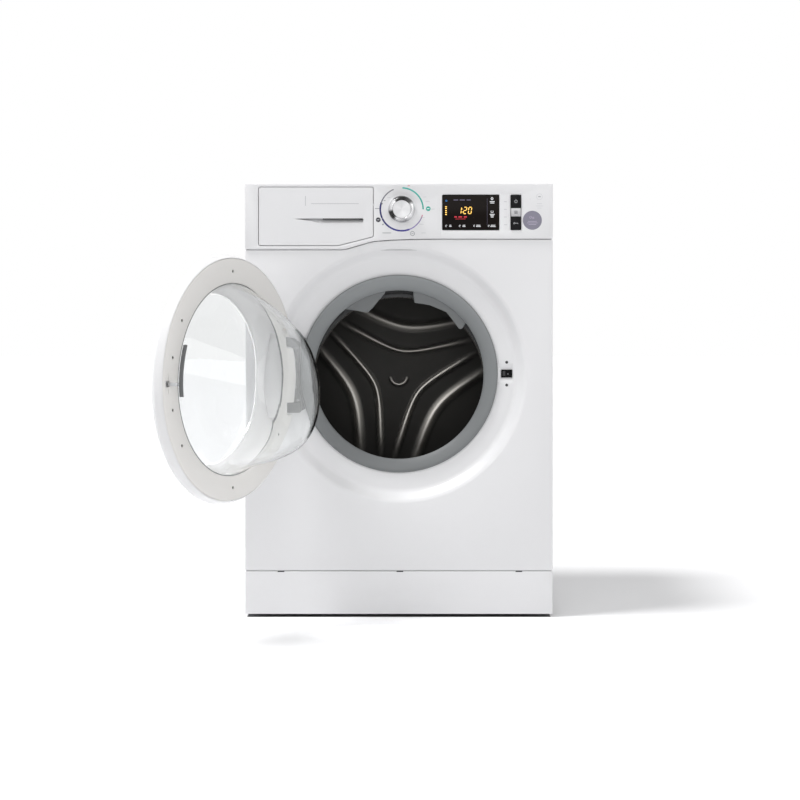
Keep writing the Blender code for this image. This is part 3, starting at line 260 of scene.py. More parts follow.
def enamel(name, shade):
    """Baked enamel on steel: faint orange peel under a clear gloss, and the least trace of handling."""
    g = Graph(name)
    peel = g.bump(g.noise(420.0, 2.0), 0.10, 0.0003)
    waves = g.bump(g.noise(6.0, 1.0), 0.05, 0.002, peel)
    drift = g.noise(2.2, 2.0)
    g.set(
        Base_Color=g.blend(drift, tint(shade, 0.985), tint(shade, 1.012)),
        Roughness=g.between(g.noise(9.0, 4.0), 0.30, 0.40), Normal=waves,
    )
    g.shader.inputs["Coat Weight"].default_value = 0.25
    g.shader.inputs["Coat Roughness"].default_value = 0.12
    return g.material


def moulded(name, shade, roughness=0.38, grain=900.0, depth=0.00012, drift=0.02):
    """Moulded plastic: an even spark-eroded grain, with slight flow marks in colour and gloss."""
    g = Graph(name)
    fine = g.bump(g.noise(grain, 3.0), 0.25, depth)
    flow = g.noise(14.0, 3.0)
    g.set(
        Base_Color=g.blend(flow, tint(shade, 1.0 - drift), tint(shade, 1.0 + drift * 0.5)),
        Roughness=g.between(g.noise(45.0, 2.0), roughness - 0.04, roughness + 0.05), Normal=fine,
    )
    return g.material


def translucent(name, shade):
    """Thin bright moulding that lets some light through."""
    g = Graph(name)
    flow = g.noise(14.0, 3.0)
    g.set(
        Base_Color=g.blend(flow, tint(shade, 0.985), tint(shade, 1.01)),
        Roughness=g.between(g.noise(45.0, 2.0), 0.34, 0.43),
        Normal=g.bump(g.noise(900.0, 3.0), 0.25, 0.00012),
    )
    g.shader.inputs["Subsurface Weight"].default_value = 0.5
    g.shader.inputs["Subsurface Radius"].default_value = (1.0, 1.0, 1.0)
    g.shader.inputs["Subsurface Scale"].default_value = 0.012
    return g.material


def rubber(name, shade, roughness=0.55, heights=None):
    """Moulded rubber: dull, with a soft bloom and a fine skin. Between two heights its colour is painted
    lighter upwards as painted light from above, and deep inside its folds it is painted dark as painted
    shade."""
    g = Graph(name)
    bloom = g.noise(18.0, 4.0)
    skin = g.bump(g.noise(650.0, 2.0), 0.20, 0.00015)
    colour_of = g.blend(bloom, tint(shade, 0.93), tint(shade, 1.07))
    if heights:
        _, deep, up = g.split(g.place)
        # Painted light: darker at the bottom, lighter at the top.
        painted_light_by_height = g.blend(g.between(up, 0.0, 1.0, heights), tint(shade, 0.80), tint(shade, 1.38))
        # Painted shade: the seal's inside, behind the lip, is darkened to near black.
        inside = (row_point(0, 0.034, 0).y, row_point(0, 0.046, 0).y)
        colour_of = g.blend(g.between(deep, 0.0, 1.0, inside), painted_light_by_height, tint(shade, 0.10))
    g.set(
        Base_Color=colour_of,
        Roughness=g.between(g.noise(60.0, 3.0), roughness - 0.07, roughness + 0.08), Normal=skin,
    )
    g.shader.inputs["Sheen Weight"].default_value = 0.08
    return g.material


def brushed(name, shade, roughness, centre=None, stretch=0.02, metallic=1.0):
    """Metal with fine lines: round a Y axis through centre, or along X without one."""
    g = Graph(name)
    if centre is None:
        lines = g.moved(scale=(stretch, 1.0, 1.0))
    else:
        across, deep, up = g.split(g.moved(location=tuple(-Vector(centre))))
        turned = g.node("ShaderNodeCombineXYZ")
        angle = g.maths("MULTIPLY", g.maths("ARCTAN2", across, up), stretch)
        for socket, value in zip(turned.inputs, (g.reach(across, up), deep, angle)):
            g.feed(socket, value)
        lines = turned.outputs[0]
    scratch = g.noise(900.0, 2.0, lines)
    cloud = g.noise(7.0, 3.0)
    g.set(
        Base_Color=g.blend(cloud, tint(shade, 0.85), tint(shade, 1.12)),
        Roughness=g.between(scratch, roughness - 0.06, roughness + 0.10),
        Normal=g.bump(scratch, 0.12, 0.0001),
    )
    g.shader.inputs["Metallic"].default_value = metallic
    return g.material


def cast(name, shade, roughness=0.7, metallic=0.0, grain=160.0):
    """A rough casting: pitted skin with patches."""
    g = Graph(name)
    patches = g.noise(25.0, 6.0, roughness=0.7)
    pits = g.noise(grain, 5.0, roughness=0.65)
    g.set(
        Base_Color=g.blend(patches, tint(shade, 0.75), tint(shade, 1.25)),
        Roughness=g.between(pits, roughness - 0.12, roughness + 0.12),
        Normal=g.bump(pits, 0.6, 0.0012),
    )
    g.shader.inputs["Metallic"].default_value = metallic
    return g.material


def clear(name, shade, roughness=0.0):
    """Pressed glass: clear, with the faint ripple of its mould."""
    g = Graph(name)
    g.set(Base_Color=shade, Roughness=roughness, Normal=g.bump(g.noise(11.0, 2.0), 0.10, 0.004))
    g.shader.inputs["Transmission Weight"].default_value = 1.0
    g.shader.inputs["IOR"].default_value = 1.47
    path = g.node("ShaderNodeLightPath")
    g.feed(g.shader.inputs["Alpha"], g.between(path.outputs["Is Shadow Ray"], 1.0, 0.10))
    return g.material


def printed(name, shade, strength=0.0):
    """Screen printed ink, or a lit sign where a strength is given."""
    g = Graph(name)
    speck = g.noise(1600.0, 2.0)
    g.set(Base_Color=g.blend(speck, tint(shade, 0.92), tint(shade, 1.04)), Roughness=0.45)
    if strength:
        g.set(Emission_Color=shade)
        g.shader.inputs["Emission Strength"].default_value = strength
    return g.material


def perforated(name, shade, centre, pitch=0.0125, hole=0.0016):
    """Drum wall: rows of round holes, each with a drawn lip, on bright rolled steel; the holes are painted
    near black as painted shade behind them.
    """
    g = Graph(name)
    side, deep, up = g.split(g.moved(location=tuple(-Vector(centre))))
    steps = round(2 * math.pi * 0.237 / pitch)
    across = g.maths("MULTIPLY", g.maths("ARCTAN2", side, up), steps / (2 * math.pi))
    along = g.maths("DIVIDE", deep, pitch)
    shift = g.maths("MULTIPLY", g.maths("FLOORED_MODULO", g.maths("FLOOR", along), 2.0), 0.5)
    u = g.maths("SUBTRACT", g.maths("FRACT", g.maths("ADD", across, shift)), 0.5)
    v = g.maths("SUBTRACT", g.maths("FRACT", along), 0.5)
    distance = g.maths("MULTIPLY", g.reach(u, v), pitch)
    opening = g.between(distance, 1.0, 0.0, (hole * 0.92, hole * 1.08))
    lip = g.between(distance, 1.0, 0.0, (hole, hole * 2.4))
    cloud = g.noise(7.0, 3.0)
    metal = g.blend(cloud, tint(shade, 0.85), tint(shade, 1.12))
    g.set(
        # Painted shade: the openings are coloured near black for the darkness seen through them.
        Base_Color=g.blend(opening, metal, (0.004, 0.004, 0.004)),
        Roughness=g.between(opening, 0.24, 0.9), Normal=g.bump(lip, 0.8, 0.0012),
        Metallic=g.between(opening, 1.0, 0.0),
    )
    return g.material


def embossed(name, shade, centre):
    """Pressed drum sheet: flats painted dark as painted shade of the drum's inside, and ridges painted bright
    as painted highlights, brightest near the middle and towards the bottom.
    """
    g = Graph(name)
    crest = g.node("ShaderNodeAttribute", attribute_name="crest").outputs["Fac"]
    # Painted highlight: the ridges' crest height lightens their colour.
    ridge_highlight = g.between(crest, 0.0, 1.0, (0.06, 0.80))
    cloud = g.noise(9.0, 4.0)
    across, _, up = g.split(g.moved(location=tuple(-Vector(centre))))
    # Painted light falloff: the ridge highlights fade away from the middle and towards the top.
    highlight_falloff = g.maths("MULTIPLY", g.between(g.reach(across, up), 1.0, 0.12, (0.085, 0.155)),
                   g.between(up, 1.0, 0.30, (-0.09, 0.05)))
    # Painted shade on the flats, and painted highlight colour on the ridges.
    flats = g.blend(cloud, tint(shade, 0.14), tint(shade, 0.30))
    bright = g.blend(highlight_falloff, tint(shade, 1.2), tint(shade, 8.2))
    g.set(
        Base_Color=g.blend(ridge_highlight, flats, bright), Metallic=g.between(ridge_highlight, 0.75, 0.95),
        Roughness=g.between(ridge_highlight, 0.40, 0.36), Normal=g.bump(g.noise(500.0, 3.0), 0.12, 0.0002),
    )
    return g.material


def dark_window(name, shade):
    """Smoked acrylic: nearly black, with a soft even gloss."""
    g = Graph(name)
    g.set(Base_Color=g.blend(g.noise(30.0, 2.0), tint(shade, 0.9), tint(shade, 1.1)),
          Roughness=g.between(g.noise(8.0), 0.16, 0.22))
    g.shader.inputs["Specular IOR Level"].default_value = 0.09
    return g.material


def conic(name, centre, stops, metallic=1.0, roughness=0.2):
    """Colour or tone that runs round a Y axis: painted reflections and sheen on turned metal, or a printed
    scale.
    """
    g = Graph(name)
    across, _, up = g.split(g.moved(location=tuple(-Vector(centre))))
    turn = g.maths("ARCTAN2", up, across)
    share = g.maths("FRACT", g.maths("ADD", g.maths("DIVIDE", turn, 2 * math.pi), 1.0))
    g.set(Base_Color=g.ramp(share, stops), Roughness=roughness,
          Normal=g.bump(g.noise(700.0, 2.0), 0.05, 0.0001))
    g.shader.inputs["Metallic"].default_value = metallic
    return g.material


_made = {}


def finish(name):
    """The named finish, made the first time that a piece asks for it."""
    if name not in _made:
        _made[name] = FINISHES[name]()
    return _made[name]


def row_point(x, y, z):
    """A point of the machine's own coordinates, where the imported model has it."""
    return MACHINE @ Vector((x, y, z))


def own_box(node):
    """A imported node's two corners in the machine's own coordinates."""
    return [MACHINE.inverted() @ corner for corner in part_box(node)]


KNOB = Vector((0.0055, 0.0, 0.7950))

FINISHES = {
    "enamel": lambda: enamel("enamel", tuple(finishes().enamel)),
    "moulding": lambda: moulded("white_moulding", tuple(finishes().moulding)),
    "door_ring": lambda: moulded("door_ring_moulding", tuple(finishes().door_ring), 0.48, 700.0),
    "door_shell": lambda: translucent("door_shell_moulding", (0.90, 0.90, 0.91)),
    "grey_moulding": lambda: moulded("grey_moulding", (0.17, 0.175, 0.18), 0.5, 500.0),
    "dark_moulding": lambda: moulded("dark_moulding", (0.035, 0.036, 0.038), 0.42, 500.0),
    "display_glass": lambda: dark_window("display_glass", (0.006, 0.0035, 0.0025)),
    "button_black": lambda: dark_window("button_black", (0.010, 0.010, 0.011)),
    # Painted shade seen through the panel gaps.
    "gap_shade": lambda: moulded("gap_shade_grey", (0.50, 0.50, 0.51), 0.5, 500.0),
    "silver_button": lambda: brushed("silver_button", (0.46, 0.46, 0.47), 0.36),
    "seal": lambda: rubber("seal_rubber", tuple(finishes().seal), 0.52, (PORT - 0.19, PORT + 0.19)),
    "seal_lumps": lambda: rubber("nozzle_rubber", tint(tuple(finishes().seal), 0.80), 0.45),
    "black_rubber": lambda: rubber("black_rubber", (0.018, 0.018, 0.019), 0.65),
    "drum_wall": lambda: perforated("drum_wall", tint(tuple(finishes().drum), 0.35), row_point(0, 0, DRUM)),
    "drum_back": lambda: embossed("drum_back", tuple(finishes().drum), row_point(0, 0, DRUM)),
    "zinc": lambda: brushed("zinc_plate", (0.56, 0.57, 0.58), 0.36),
    "steel_screw": lambda: brushed("screw_steel", (0.36, 0.36, 0.37), 0.34),
    "ring_screw": lambda: brushed("ring_screw", (0.12, 0.12, 0.12), 0.40),
    "cast_alloy": lambda: cast("cast_alloy", (0.52, 0.52, 0.53), 0.5, 1.0),
    "cast_weight": lambda: cast("cast_weight", (0.13, 0.13, 0.125), 0.85, 0.0, 90.0),
    "tub": lambda: moulded("tub_moulding", (0.50, 0.51, 0.52), 0.55, 220.0, 0.0003, 0.05),
    "board": lambda: moulded("circuit_board", (0.015, 0.13, 0.06), 0.35, 300.0),
    "glass": lambda: clear("pressed_glass", (0.985, 0.995, 0.993)),
    "pane_glass": lambda: clear("pane_glass", (0.955, 0.960, 0.965)),
    # Painted reflections: the chrome ring's bright and dark sectors stand for reflected surroundings.
    "chrome": lambda: conic("knob_chrome_painted_reflections", row_point(*KNOB), (
        (0.00, (0.55, 0.55, 0.56)), (0.07, (0.80, 0.80, 0.81)), (0.115, (0.12, 0.12, 0.12)),
        (0.22, (0.02, 0.02, 0.02)), (0.34, (0.05, 0.05, 0.05)), (0.375, (0.85, 0.85, 0.86)),
        (0.50, (0.62, 0.62, 0.63)), (0.535, (0.03, 0.03, 0.03)), (0.63, (0.05, 0.05, 0.05)),
        (0.67, (0.70, 0.70, 0.71)), (0.80, (0.36, 0.36, 0.37)), (0.90, (0.78, 0.78, 0.79)),
        (1.00, (0.55, 0.55, 0.56))), 0.85, 0.18),
    # Painted sheen: the knob face's lighter and darker sectors.
    "knob_face": lambda: conic("knob_face", row_point(*KNOB), (
        (0.00, (0.74, 0.74, 0.75)), (0.12, (0.84, 0.84, 0.85)), (0.25, (0.70, 0.70, 0.71)),
        (0.42, (0.82, 0.82, 0.83)), (0.60, (0.68, 0.68, 0.69)), (0.80, (0.80, 0.80, 0.81)),
        (1.00, (0.74, 0.74, 0.75))), 0.15, 0.32),
    "scale": lambda: conic("knob_scale", row_point(*KNOB), (
        (0.00, (0.010, 0.35, 0.28)), (0.12, (0.04, 0.42, 0.35)), (0.25, (0.07, 0.45, 0.40)),
        (0.31, (0.24, 0.24, 0.26)), (0.44, (0.14, 0.14, 0.18)), (0.455, (0.015, 0.015, 0.13)),
        (0.57, (0.015, 0.015, 0.12)), (0.70, (0.025, 0.02, 0.22)), (0.80, (0.04, 0.03, 0.28)),
        (0.82, (0.28, 0.22, 0.52)), (0.93, (0.26, 0.20, 0.36)), (0.955, (0.66, 0.22, 0.32)),
        (1.00, (0.40, 0.32, 0.40))), 0.0, 0.45),
    "digits": lambda: printed("lit_digits", tuple(finishes().digits), 0.9),
    "red_sign": lambda: printed("red_sign", (0.55, 0.02, 0.04), 0.30),
    "blue_sign": lambda: printed("blue_sign", (0.02, 0.16, 0.45), 0.45),
    "dim_sign": lambda: printed("dim_sign", (0.09, 0.08, 0.13), 0.10),
    "white_sign": lambda: printed("white_sign", (0.70, 0.71, 0.73), 0.35),
    "grey_ink": lambda: printed("grey_ink", (0.36, 0.37, 0.39)),
    "pale_ink": lambda: printed("pale_ink", (0.60, 0.61, 0.63)),
    "teal_ink": lambda: printed("teal_ink", (0.03, 0.42, 0.33)),
    "red_ink": lambda: printed("red_ink", (0.72, 0.26, 0.30)),
    "dark_ink": lambda: printed("dark_ink", (0.03, 0.03, 0.04)),
    "badge": lambda: printed("sticker_film", tuple(finishes().badge)),
    "badge_ink": lambda: printed("sticker_ink", (0.46, 0.42, 0.54)),
    # Painted shade: near black for the darkness inside hollows behind the panels.
    "hollow_shade": lambda: moulded("painted_hollow_shade", (0.02, 0.02, 0.022), 0.7),
}


# ---- Modelling helpers -------------------------------------------------------------------------
def arc(centre, radius, start, end, steps):
    """Points on an arc in degrees, both ends included."""
    turns = [math.radians(start + (end - start) * i / steps) for i in range(steps + 1)]
    return [(centre[0] + radius * math.cos(t), centre[1] + radius * math.sin(t)) for t in turns]


def on_circle(centre, radius, angle):
    """One point on a circle, at an angle in degrees."""
    return arc(centre, radius, angle, angle, 1)[0]


def circle(centre, radius, steps=32):
    return arc(centre, radius, 0.0, 360.0, steps)[:-1]


def rectangle(low, high):
    return [(low[0], low[1]), (high[0], low[1]), (high[0], high[1]), (low[0], high[1])]


def rounded(outline, radius, steps=5):
    """Replaces each corner of an outline by an arc that touches both of its sides."""
    points = []
    for i, corner in enumerate(outline):
        here = Vector(corner)
        back = (Vector(outline[i - 1]) - here).normalized()
        forth = (Vector(outline[(i + 1) % len(outline)]) - here).normalized()
        half = back.angle(forth) / 2
        reach = radius / math.tan(half)
        middle = here + (back + forth).normalized() * radius / math.sin(half)
        start = here + back * reach - middle
        turn = (here + forth * reach - middle).angle_signed(start)
        for k in range(steps + 1):
            spoke = start.copy()
            spoke.rotate(Matrix.Rotation(turn * k / steps, 2))
            points.append(tuple(middle + spoke))
    return points


def smooth_line(points, between=4):
    """More points on a Catmull-Rom curve through the given ones."""
    points = [Vector(p) for p in points]
    ends = [2 * points[0] - points[1], *points, 2 * points[-1] - points[-2]]
    line = []
    for a, b, c, d in zip(ends, ends[1:], ends[2:], ends[3:]):
        for k in range(between):
            t = k / between
            square, cube = (2 * a - 5 * b + 4 * c - d) * t**2, (3 * b - a - 3 * c + d) * t**3
            line.append(tuple(0.5 * (2 * b + (c - a) * t + square + cube)))
    line.append(tuple(points[-1]))
    return line


def spin(bm, points, axis="Y", steps=None, sweep=360.0, closed=True, centre=(0.0, 0.0, 0.0)):
    """Spins a profile of (along the axis, radius) points about an axis, into bm."""
    steps = steps or sizes().ring_steps
    verts = [bm.verts.new((radius, along, 0.0)) for along, radius in points]
    edges = [bm.edges.new(pair) for pair in zip(verts, verts[1:])]
    if closed and (points[0][1] > 1e-6 or points[-1][1] > 1e-6):
        edges.append(bm.edges.new((verts[-1], verts[0])))
    before = set(bm.verts) - set(verts)
    bmesh.ops.spin(
        bm, geom=verts + edges, cent=(0, 0, 0), axis=(0, 1, 0), angle=math.radians(sweep),
        steps=steps, use_merge=sweep == 360.0,
    )
    made = [v for v in bm.verts if v not in before]
    turn = Matrix.Identity(4) if axis == "Y" else Matrix.Rotation(math.pi / 2, 4, "X" if axis == "Z" else "Z")
    bmesh.ops.transform(bm, matrix=Matrix.Translation(centre) @ turn, verts=made)
    bmesh.ops.remove_doubles(bm, verts=bm.verts, dist=1e-6)
    return bm


def lathe(points, centre=(0.0, 0.0, 0.0), axis="Y", steps=None, closed=True):
    return spin(bmesh.new(), points, axis, steps, 360.0, closed, centre)


def flat_face(bm, loops, y):
    """Fills the area between an outline and the holes in it, at one depth. Returns the loops' vertices."""
    rings = [[bm.verts.new((x, y, z)) for x, z in points] for points in loops]
    edges = [bm.edges.new((ring[i - 1], ring[i])) for ring in rings for i in range(len(ring))]
    bmesh.ops.triangle_fill(bm, use_beauty=True, use_dissolve=False, edges=edges)
    return rings


def sweep_back(bm, ring, depth, shrink=None):
    """Extrudes a closed loop of vertices to another depth. Returns the new loop."""
    edges = [bm.edges.get((ring[i - 1], ring[i])) for i in range(len(ring))]
    made = bmesh.ops.extrude_edge_only(bm, edges=edges)
    verts = new_verts(made)
    for v in verts:
        v.co.y = depth
    if shrink:
        middle = sum((v.co for v in verts), Vector()) / len(verts)
        bmesh.ops.scale(bm, verts=verts, vec=(shrink, 1.0, shrink), space=Matrix.Translation(-middle))
    found = []
    for v in ring:
        found.append(next(e.other_vert(v) for e in v.link_edges if e.other_vert(v) in set(verts)))
    return found


def slab(outline, low, high, holes=(), bm=None):
    """A solid plate between two depths."""
    bm = bm or bmesh.new()
    before = set(bm.faces)
    flat_face(bm, (outline, *holes), low)
    faces = [f for f in bm.faces if f not in before]
    edges = list({e for f in faces for e in f.edges})
    made = bmesh.ops.extrude_face_region(bm, geom=faces + edges)
    moved = new_verts(made)
    bmesh.ops.translate(bm, verts=moved, vec=(0, high - low, 0))
    return bm


def new_verts(made):
    """The vertices among what an operator made."""
    return [item for item in made["geom"] if isinstance(item, bmesh.types.BMVert)]


def loop_edges(bm, ring):
    """Closes a ring of vertices with edges."""
    return [bm.edges.new((ring[i - 1], ring[i])) for i in range(len(ring))]


def skin(bm, loops):
    """Bridges loops of edges in turn and fills the last one."""
    for first, second in zip(loops, loops[1:]):
        bmesh.ops.bridge_loops(bm, edges=first + second)
    bmesh.ops.contextual_create(bm, geom=loops[-1])


def brick(low, high, bm=None):
    bm = bm or bmesh.new()
    low, high = Vector(low), Vector(high)
    made = bmesh.ops.create_cube(bm, size=1.0)["verts"]
    bmesh.ops.scale(bm, verts=made, vec=high - low)
    bmesh.ops.translate(bm, verts=made, vec=(low + high) / 2)
    return bm


def soften(bm, width, segments=3, angle=35.0, where=None):
    """Bevels the edges that turn by more than the angle."""
    bmesh.ops.recalc_face_normals(bm, faces=bm.faces)
    edges = [
        e for e in bm.edges
        if len(e.link_faces) == 2 and e.calc_face_angle(0.0) > math.radians(angle)
        and (where is None or where(e))
    ]
    bmesh.ops.bevel(
        bm, geom=edges, offset=width, segments=segments, profile=0.5, affect="EDGES",
        offset_type="OFFSET", clamp_overlap=True, material=-1,
    )
    return bm


def piece(name, bm, body, look, place=MACHINE, stands_for=(), angle=32.0):
    """Puts a finished bmesh in the scene, where it rides on a body."""
    bmesh.ops.remove_doubles(bm, verts=bm.verts, dist=2e-6)
    bmesh.ops.recalc_face_normals(bm, faces=bm.faces)
    bmesh.ops.transform(bm, matrix=place, verts=bm.verts)
    mesh = bpy.data.meshes.new(name)
    bm.to_mesh(mesh)
    bm.free()
    mesh.shade_smooth()
    mesh.set_sharp_from_angle(angle=math.radians(angle))
    mesh.materials.append(finish(look))
    obj = bpy.data.objects.new(name, mesh)
    bpy.context.scene.collection.objects.link(obj)
    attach(obj, body)
    if stands_for:
        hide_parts(*stands_for)
    return obj


def wall(obj, thickness, offset=-1.0):
    """Gives an open sheet its thickness."""
    solid = obj.modifiers.new("Wall", "SOLIDIFY")
    solid.thickness = thickness
    solid.offset = offset
    return obj


def merge(made, bm):
    """Moves one bmesh into another, or keeps it where there is none to join."""
    if bm is None:
        return made
    mesh = bpy.data.meshes.new("spare")
    made.to_mesh(mesh)
    made.free()
    bm.from_mesh(mesh)
    bpy.data.meshes.remove(mesh)
    return bm


def dress(node, look):
    """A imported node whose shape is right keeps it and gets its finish."""
    mesh = frame["nodes"][node].data
    mesh.materials.clear()
    mesh.materials.append(finish(look))


def screw_head(bm, centre, radius=0.0042, facing=-1.0, axis="Y"):
    """A pan head with a round drive recess."""
    x, y, z = centre
    h = radius * 0.55
    points = [(0.0, 0.0), (0.0, radius), (0.35 * h, radius), (0.8 * h, radius * 0.78), (h, radius * 0.42),
              (h, radius * 0.34), (0.45 * h, radius * 0.28), (0.45 * h, 0.0)]
    return spin(bm, [(facing * along, r) for along, r in points], axis, 20, 360.0, True, (x, y, z))


def sign(bm, outline, face, depth=GRAPHIC):
    """A printed or lit shape that stands a hair off a face that looks forwards."""
    return slab(outline, face - depth, face + 0.00005, bm=bm)


def bar(bm, x, z, width, height, face):
    return sign(bm, rectangle((x - width / 2, z - height / 2), (x + width / 2, z + height / 2)), face)


def mark_ring(bm, x, z, radius, width, face, steps=24, start=0.0, sweep=360.0):
    """A printed ring, or a part of one."""
    points = [(face - GRAPHIC, radius - width), (face - GRAPHIC, radius), (face + 0.00005, radius),
              (face + 0.00005, radius - width)]
    made = bmesh.new()
    spin(made, points, "Y", steps, sweep, True, (0, 0, 0))
    if sweep != 360.0:
        bmesh.ops.holes_fill(made, edges=made.edges)
    turn = Matrix.Translation((x, 0, z)) @ Matrix.Rotation(-math.radians(start + sweep), 4, "Y")
    bmesh.ops.transform(made, matrix=turn, verts=made.verts)
    return merge(made, bm)


# ---- Outlines shared by neighbours -------------------------------------------------------------
def waist():
    """The line between control panel and front panel, from left to right."""
    return [
        (-HALF, 0.7170), (-0.1110, 0.7170), (-0.1010, 0.7184), (-0.0600, 0.7302), (-0.0480, 0.7330),
        (-0.0200, 0.7352), (0.0120, 0.7366), (0.0450, 0.7374), (0.0800, 0.7376), (HALF, 0.7376),
    ]


def drawer_outline():
    return [(-0.2727, 0.7248), (-0.1187, 0.7248), (-0.0505, 0.7419), (-0.0505, 0.8378), (-0.2727, 0.8378)]


def grow(outline, distance):
    """Moves each side of an anticlockwise outline outwards."""
    moved = []
    for i, point in enumerate(outline):
        here = Vector(point)
        first = (here - Vector(outline[i - 1])).normalized()
        second = (Vector(outline[(i + 1) % len(outline)]) - here).normalized()
        normal = Vector((first.y + second.y, -first.x - second.x)).normalized()
        along = normal.dot(Vector((first.y, -first.x)))
        moved.append(tuple(here + normal * distance / along))
    return moved


# ---- Operators ---------------------------------------------------------------------------------
class WASHER_OT_front_panel(bpy.types.Operator):
    """Pressed steel front with the dish round the porthole, the latch slot and its screws"""

    bl_idname = "washer.front_panel"
    bl_label = "Front Panel"

    def execute(self, context):
        s = sizes()
        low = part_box("front_panel")[0].z
        depth = PANEL_HIGH.y - PANEL_LOW.y
        outline = [(-HALF, low), (HALF, low), *[(x, z - 0.0010) for x, z in reversed(waist())]]
        steps = s.ring_steps
        port = (0.0, PORT)
        slot = rounded(rectangle((0.1999, PORT - 0.0078), (0.2221, PORT + 0.0078)), 0.0012, 2)
        dish = smooth_line([
            (0.0, s.dish_outer + 0.0030), (0.0004, s.dish_outer), (0.0026, s.dish_outer - 0.0050),
            (s.dish_depth * 0.5, (s.dish_outer + s.dish_inner) / 2),
            (s.dish_depth - 0.0026, s.dish_inner + 0.0050),
            (s.dish_depth - 0.0003, s.dish_inner),
        ], 3) + [(s.dish_depth, s.dish_inner - 0.0030)]
        dish[0] = (0.0, dish[0][1])
        bm = bmesh.new()
        flat_face(bm, (outline, circle(port, dish[0][1], steps)), 0.0)
        border = [e for e in bm.edges if e.is_boundary and (e.verts[0].co.xz - Vector(port)).length > 0.26]
        made = bmesh.ops.extrude_edge_only(bm, edges=border)
        bmesh.ops.translate(bm, verts=new_verts(made),
                            vec=(0, depth, 0))
        soften(bm, 0.0028, 4, 60.0)
        spin(bm, dish, steps=steps, closed=False, centre=(0, 0, PORT))
        flat_face(bm, (circle(port, s.dish_inner - 0.0030, steps),
                       circle(port, s.port_radius + 0.0015, steps), slot),
                  s.dish_depth)
        collar = [(s.dish_depth, s.port_radius + 0.0015), (s.dish_depth + 0.0006, s.port_radius + 0.0004),
                  (s.dish_depth + 0.0018, s.port_radius), (s.dish_depth + 0.0060, s.port_radius)]
        spin(bm, collar, steps=steps, closed=False, centre=(0, 0, PORT))
        wall(piece("front_pressing", bm, "cabinet", "enamel", stands_for=("front_panel",)), 0.0010)

        face = s.dish_depth
        lock = brick((0.1995, face - 0.0007, PORT - 0.0082), (0.2225, face + 0.0165, PORT + 0.0082))
        mouth = min(lock.faces, key=lambda f: f.calc_center_median().y)
        bmesh.ops.inset_individual(lock, faces=[mouth], thickness=0.0016, depth=0.0)
        bmesh.ops.translate(lock, verts=mouth.verts, vec=(0, 0.0155, 0))
        soften(lock, 0.0003, 2)
        piece("latch_slot_rim", lock, "cabinet", "button_black")
        tongue = brick((0.2030, face + 0.0060, PORT - 0.0050), (0.2085, face + 0.0085, PORT + 0.0050))
        piece("latch_slot_slide", soften(tongue, 0.0005, 2), "cabinet", "dark_moulding")
        catch = brick((0.2122, face + 0.0040, PORT - 0.0022), (0.2150, face + 0.0070, PORT + 0.0006))
        piece("latch_slot_catch", soften(catch, 0.0004, 2), "cabinet", "grey_moulding")
        heads = bmesh.new()
        for side in (-1, 1):
            screw_head(heads, (0.2110, face, PORT + side * 0.0223), 0.0028)
        piece("latch_slot_screws", heads, "cabinet", "dark_moulding")
        # Painted shade: the lock behind the slot is coloured as the darkness in the slot.
        dress("door_lock", "hollow_shade")
        return {"FINISHED"}


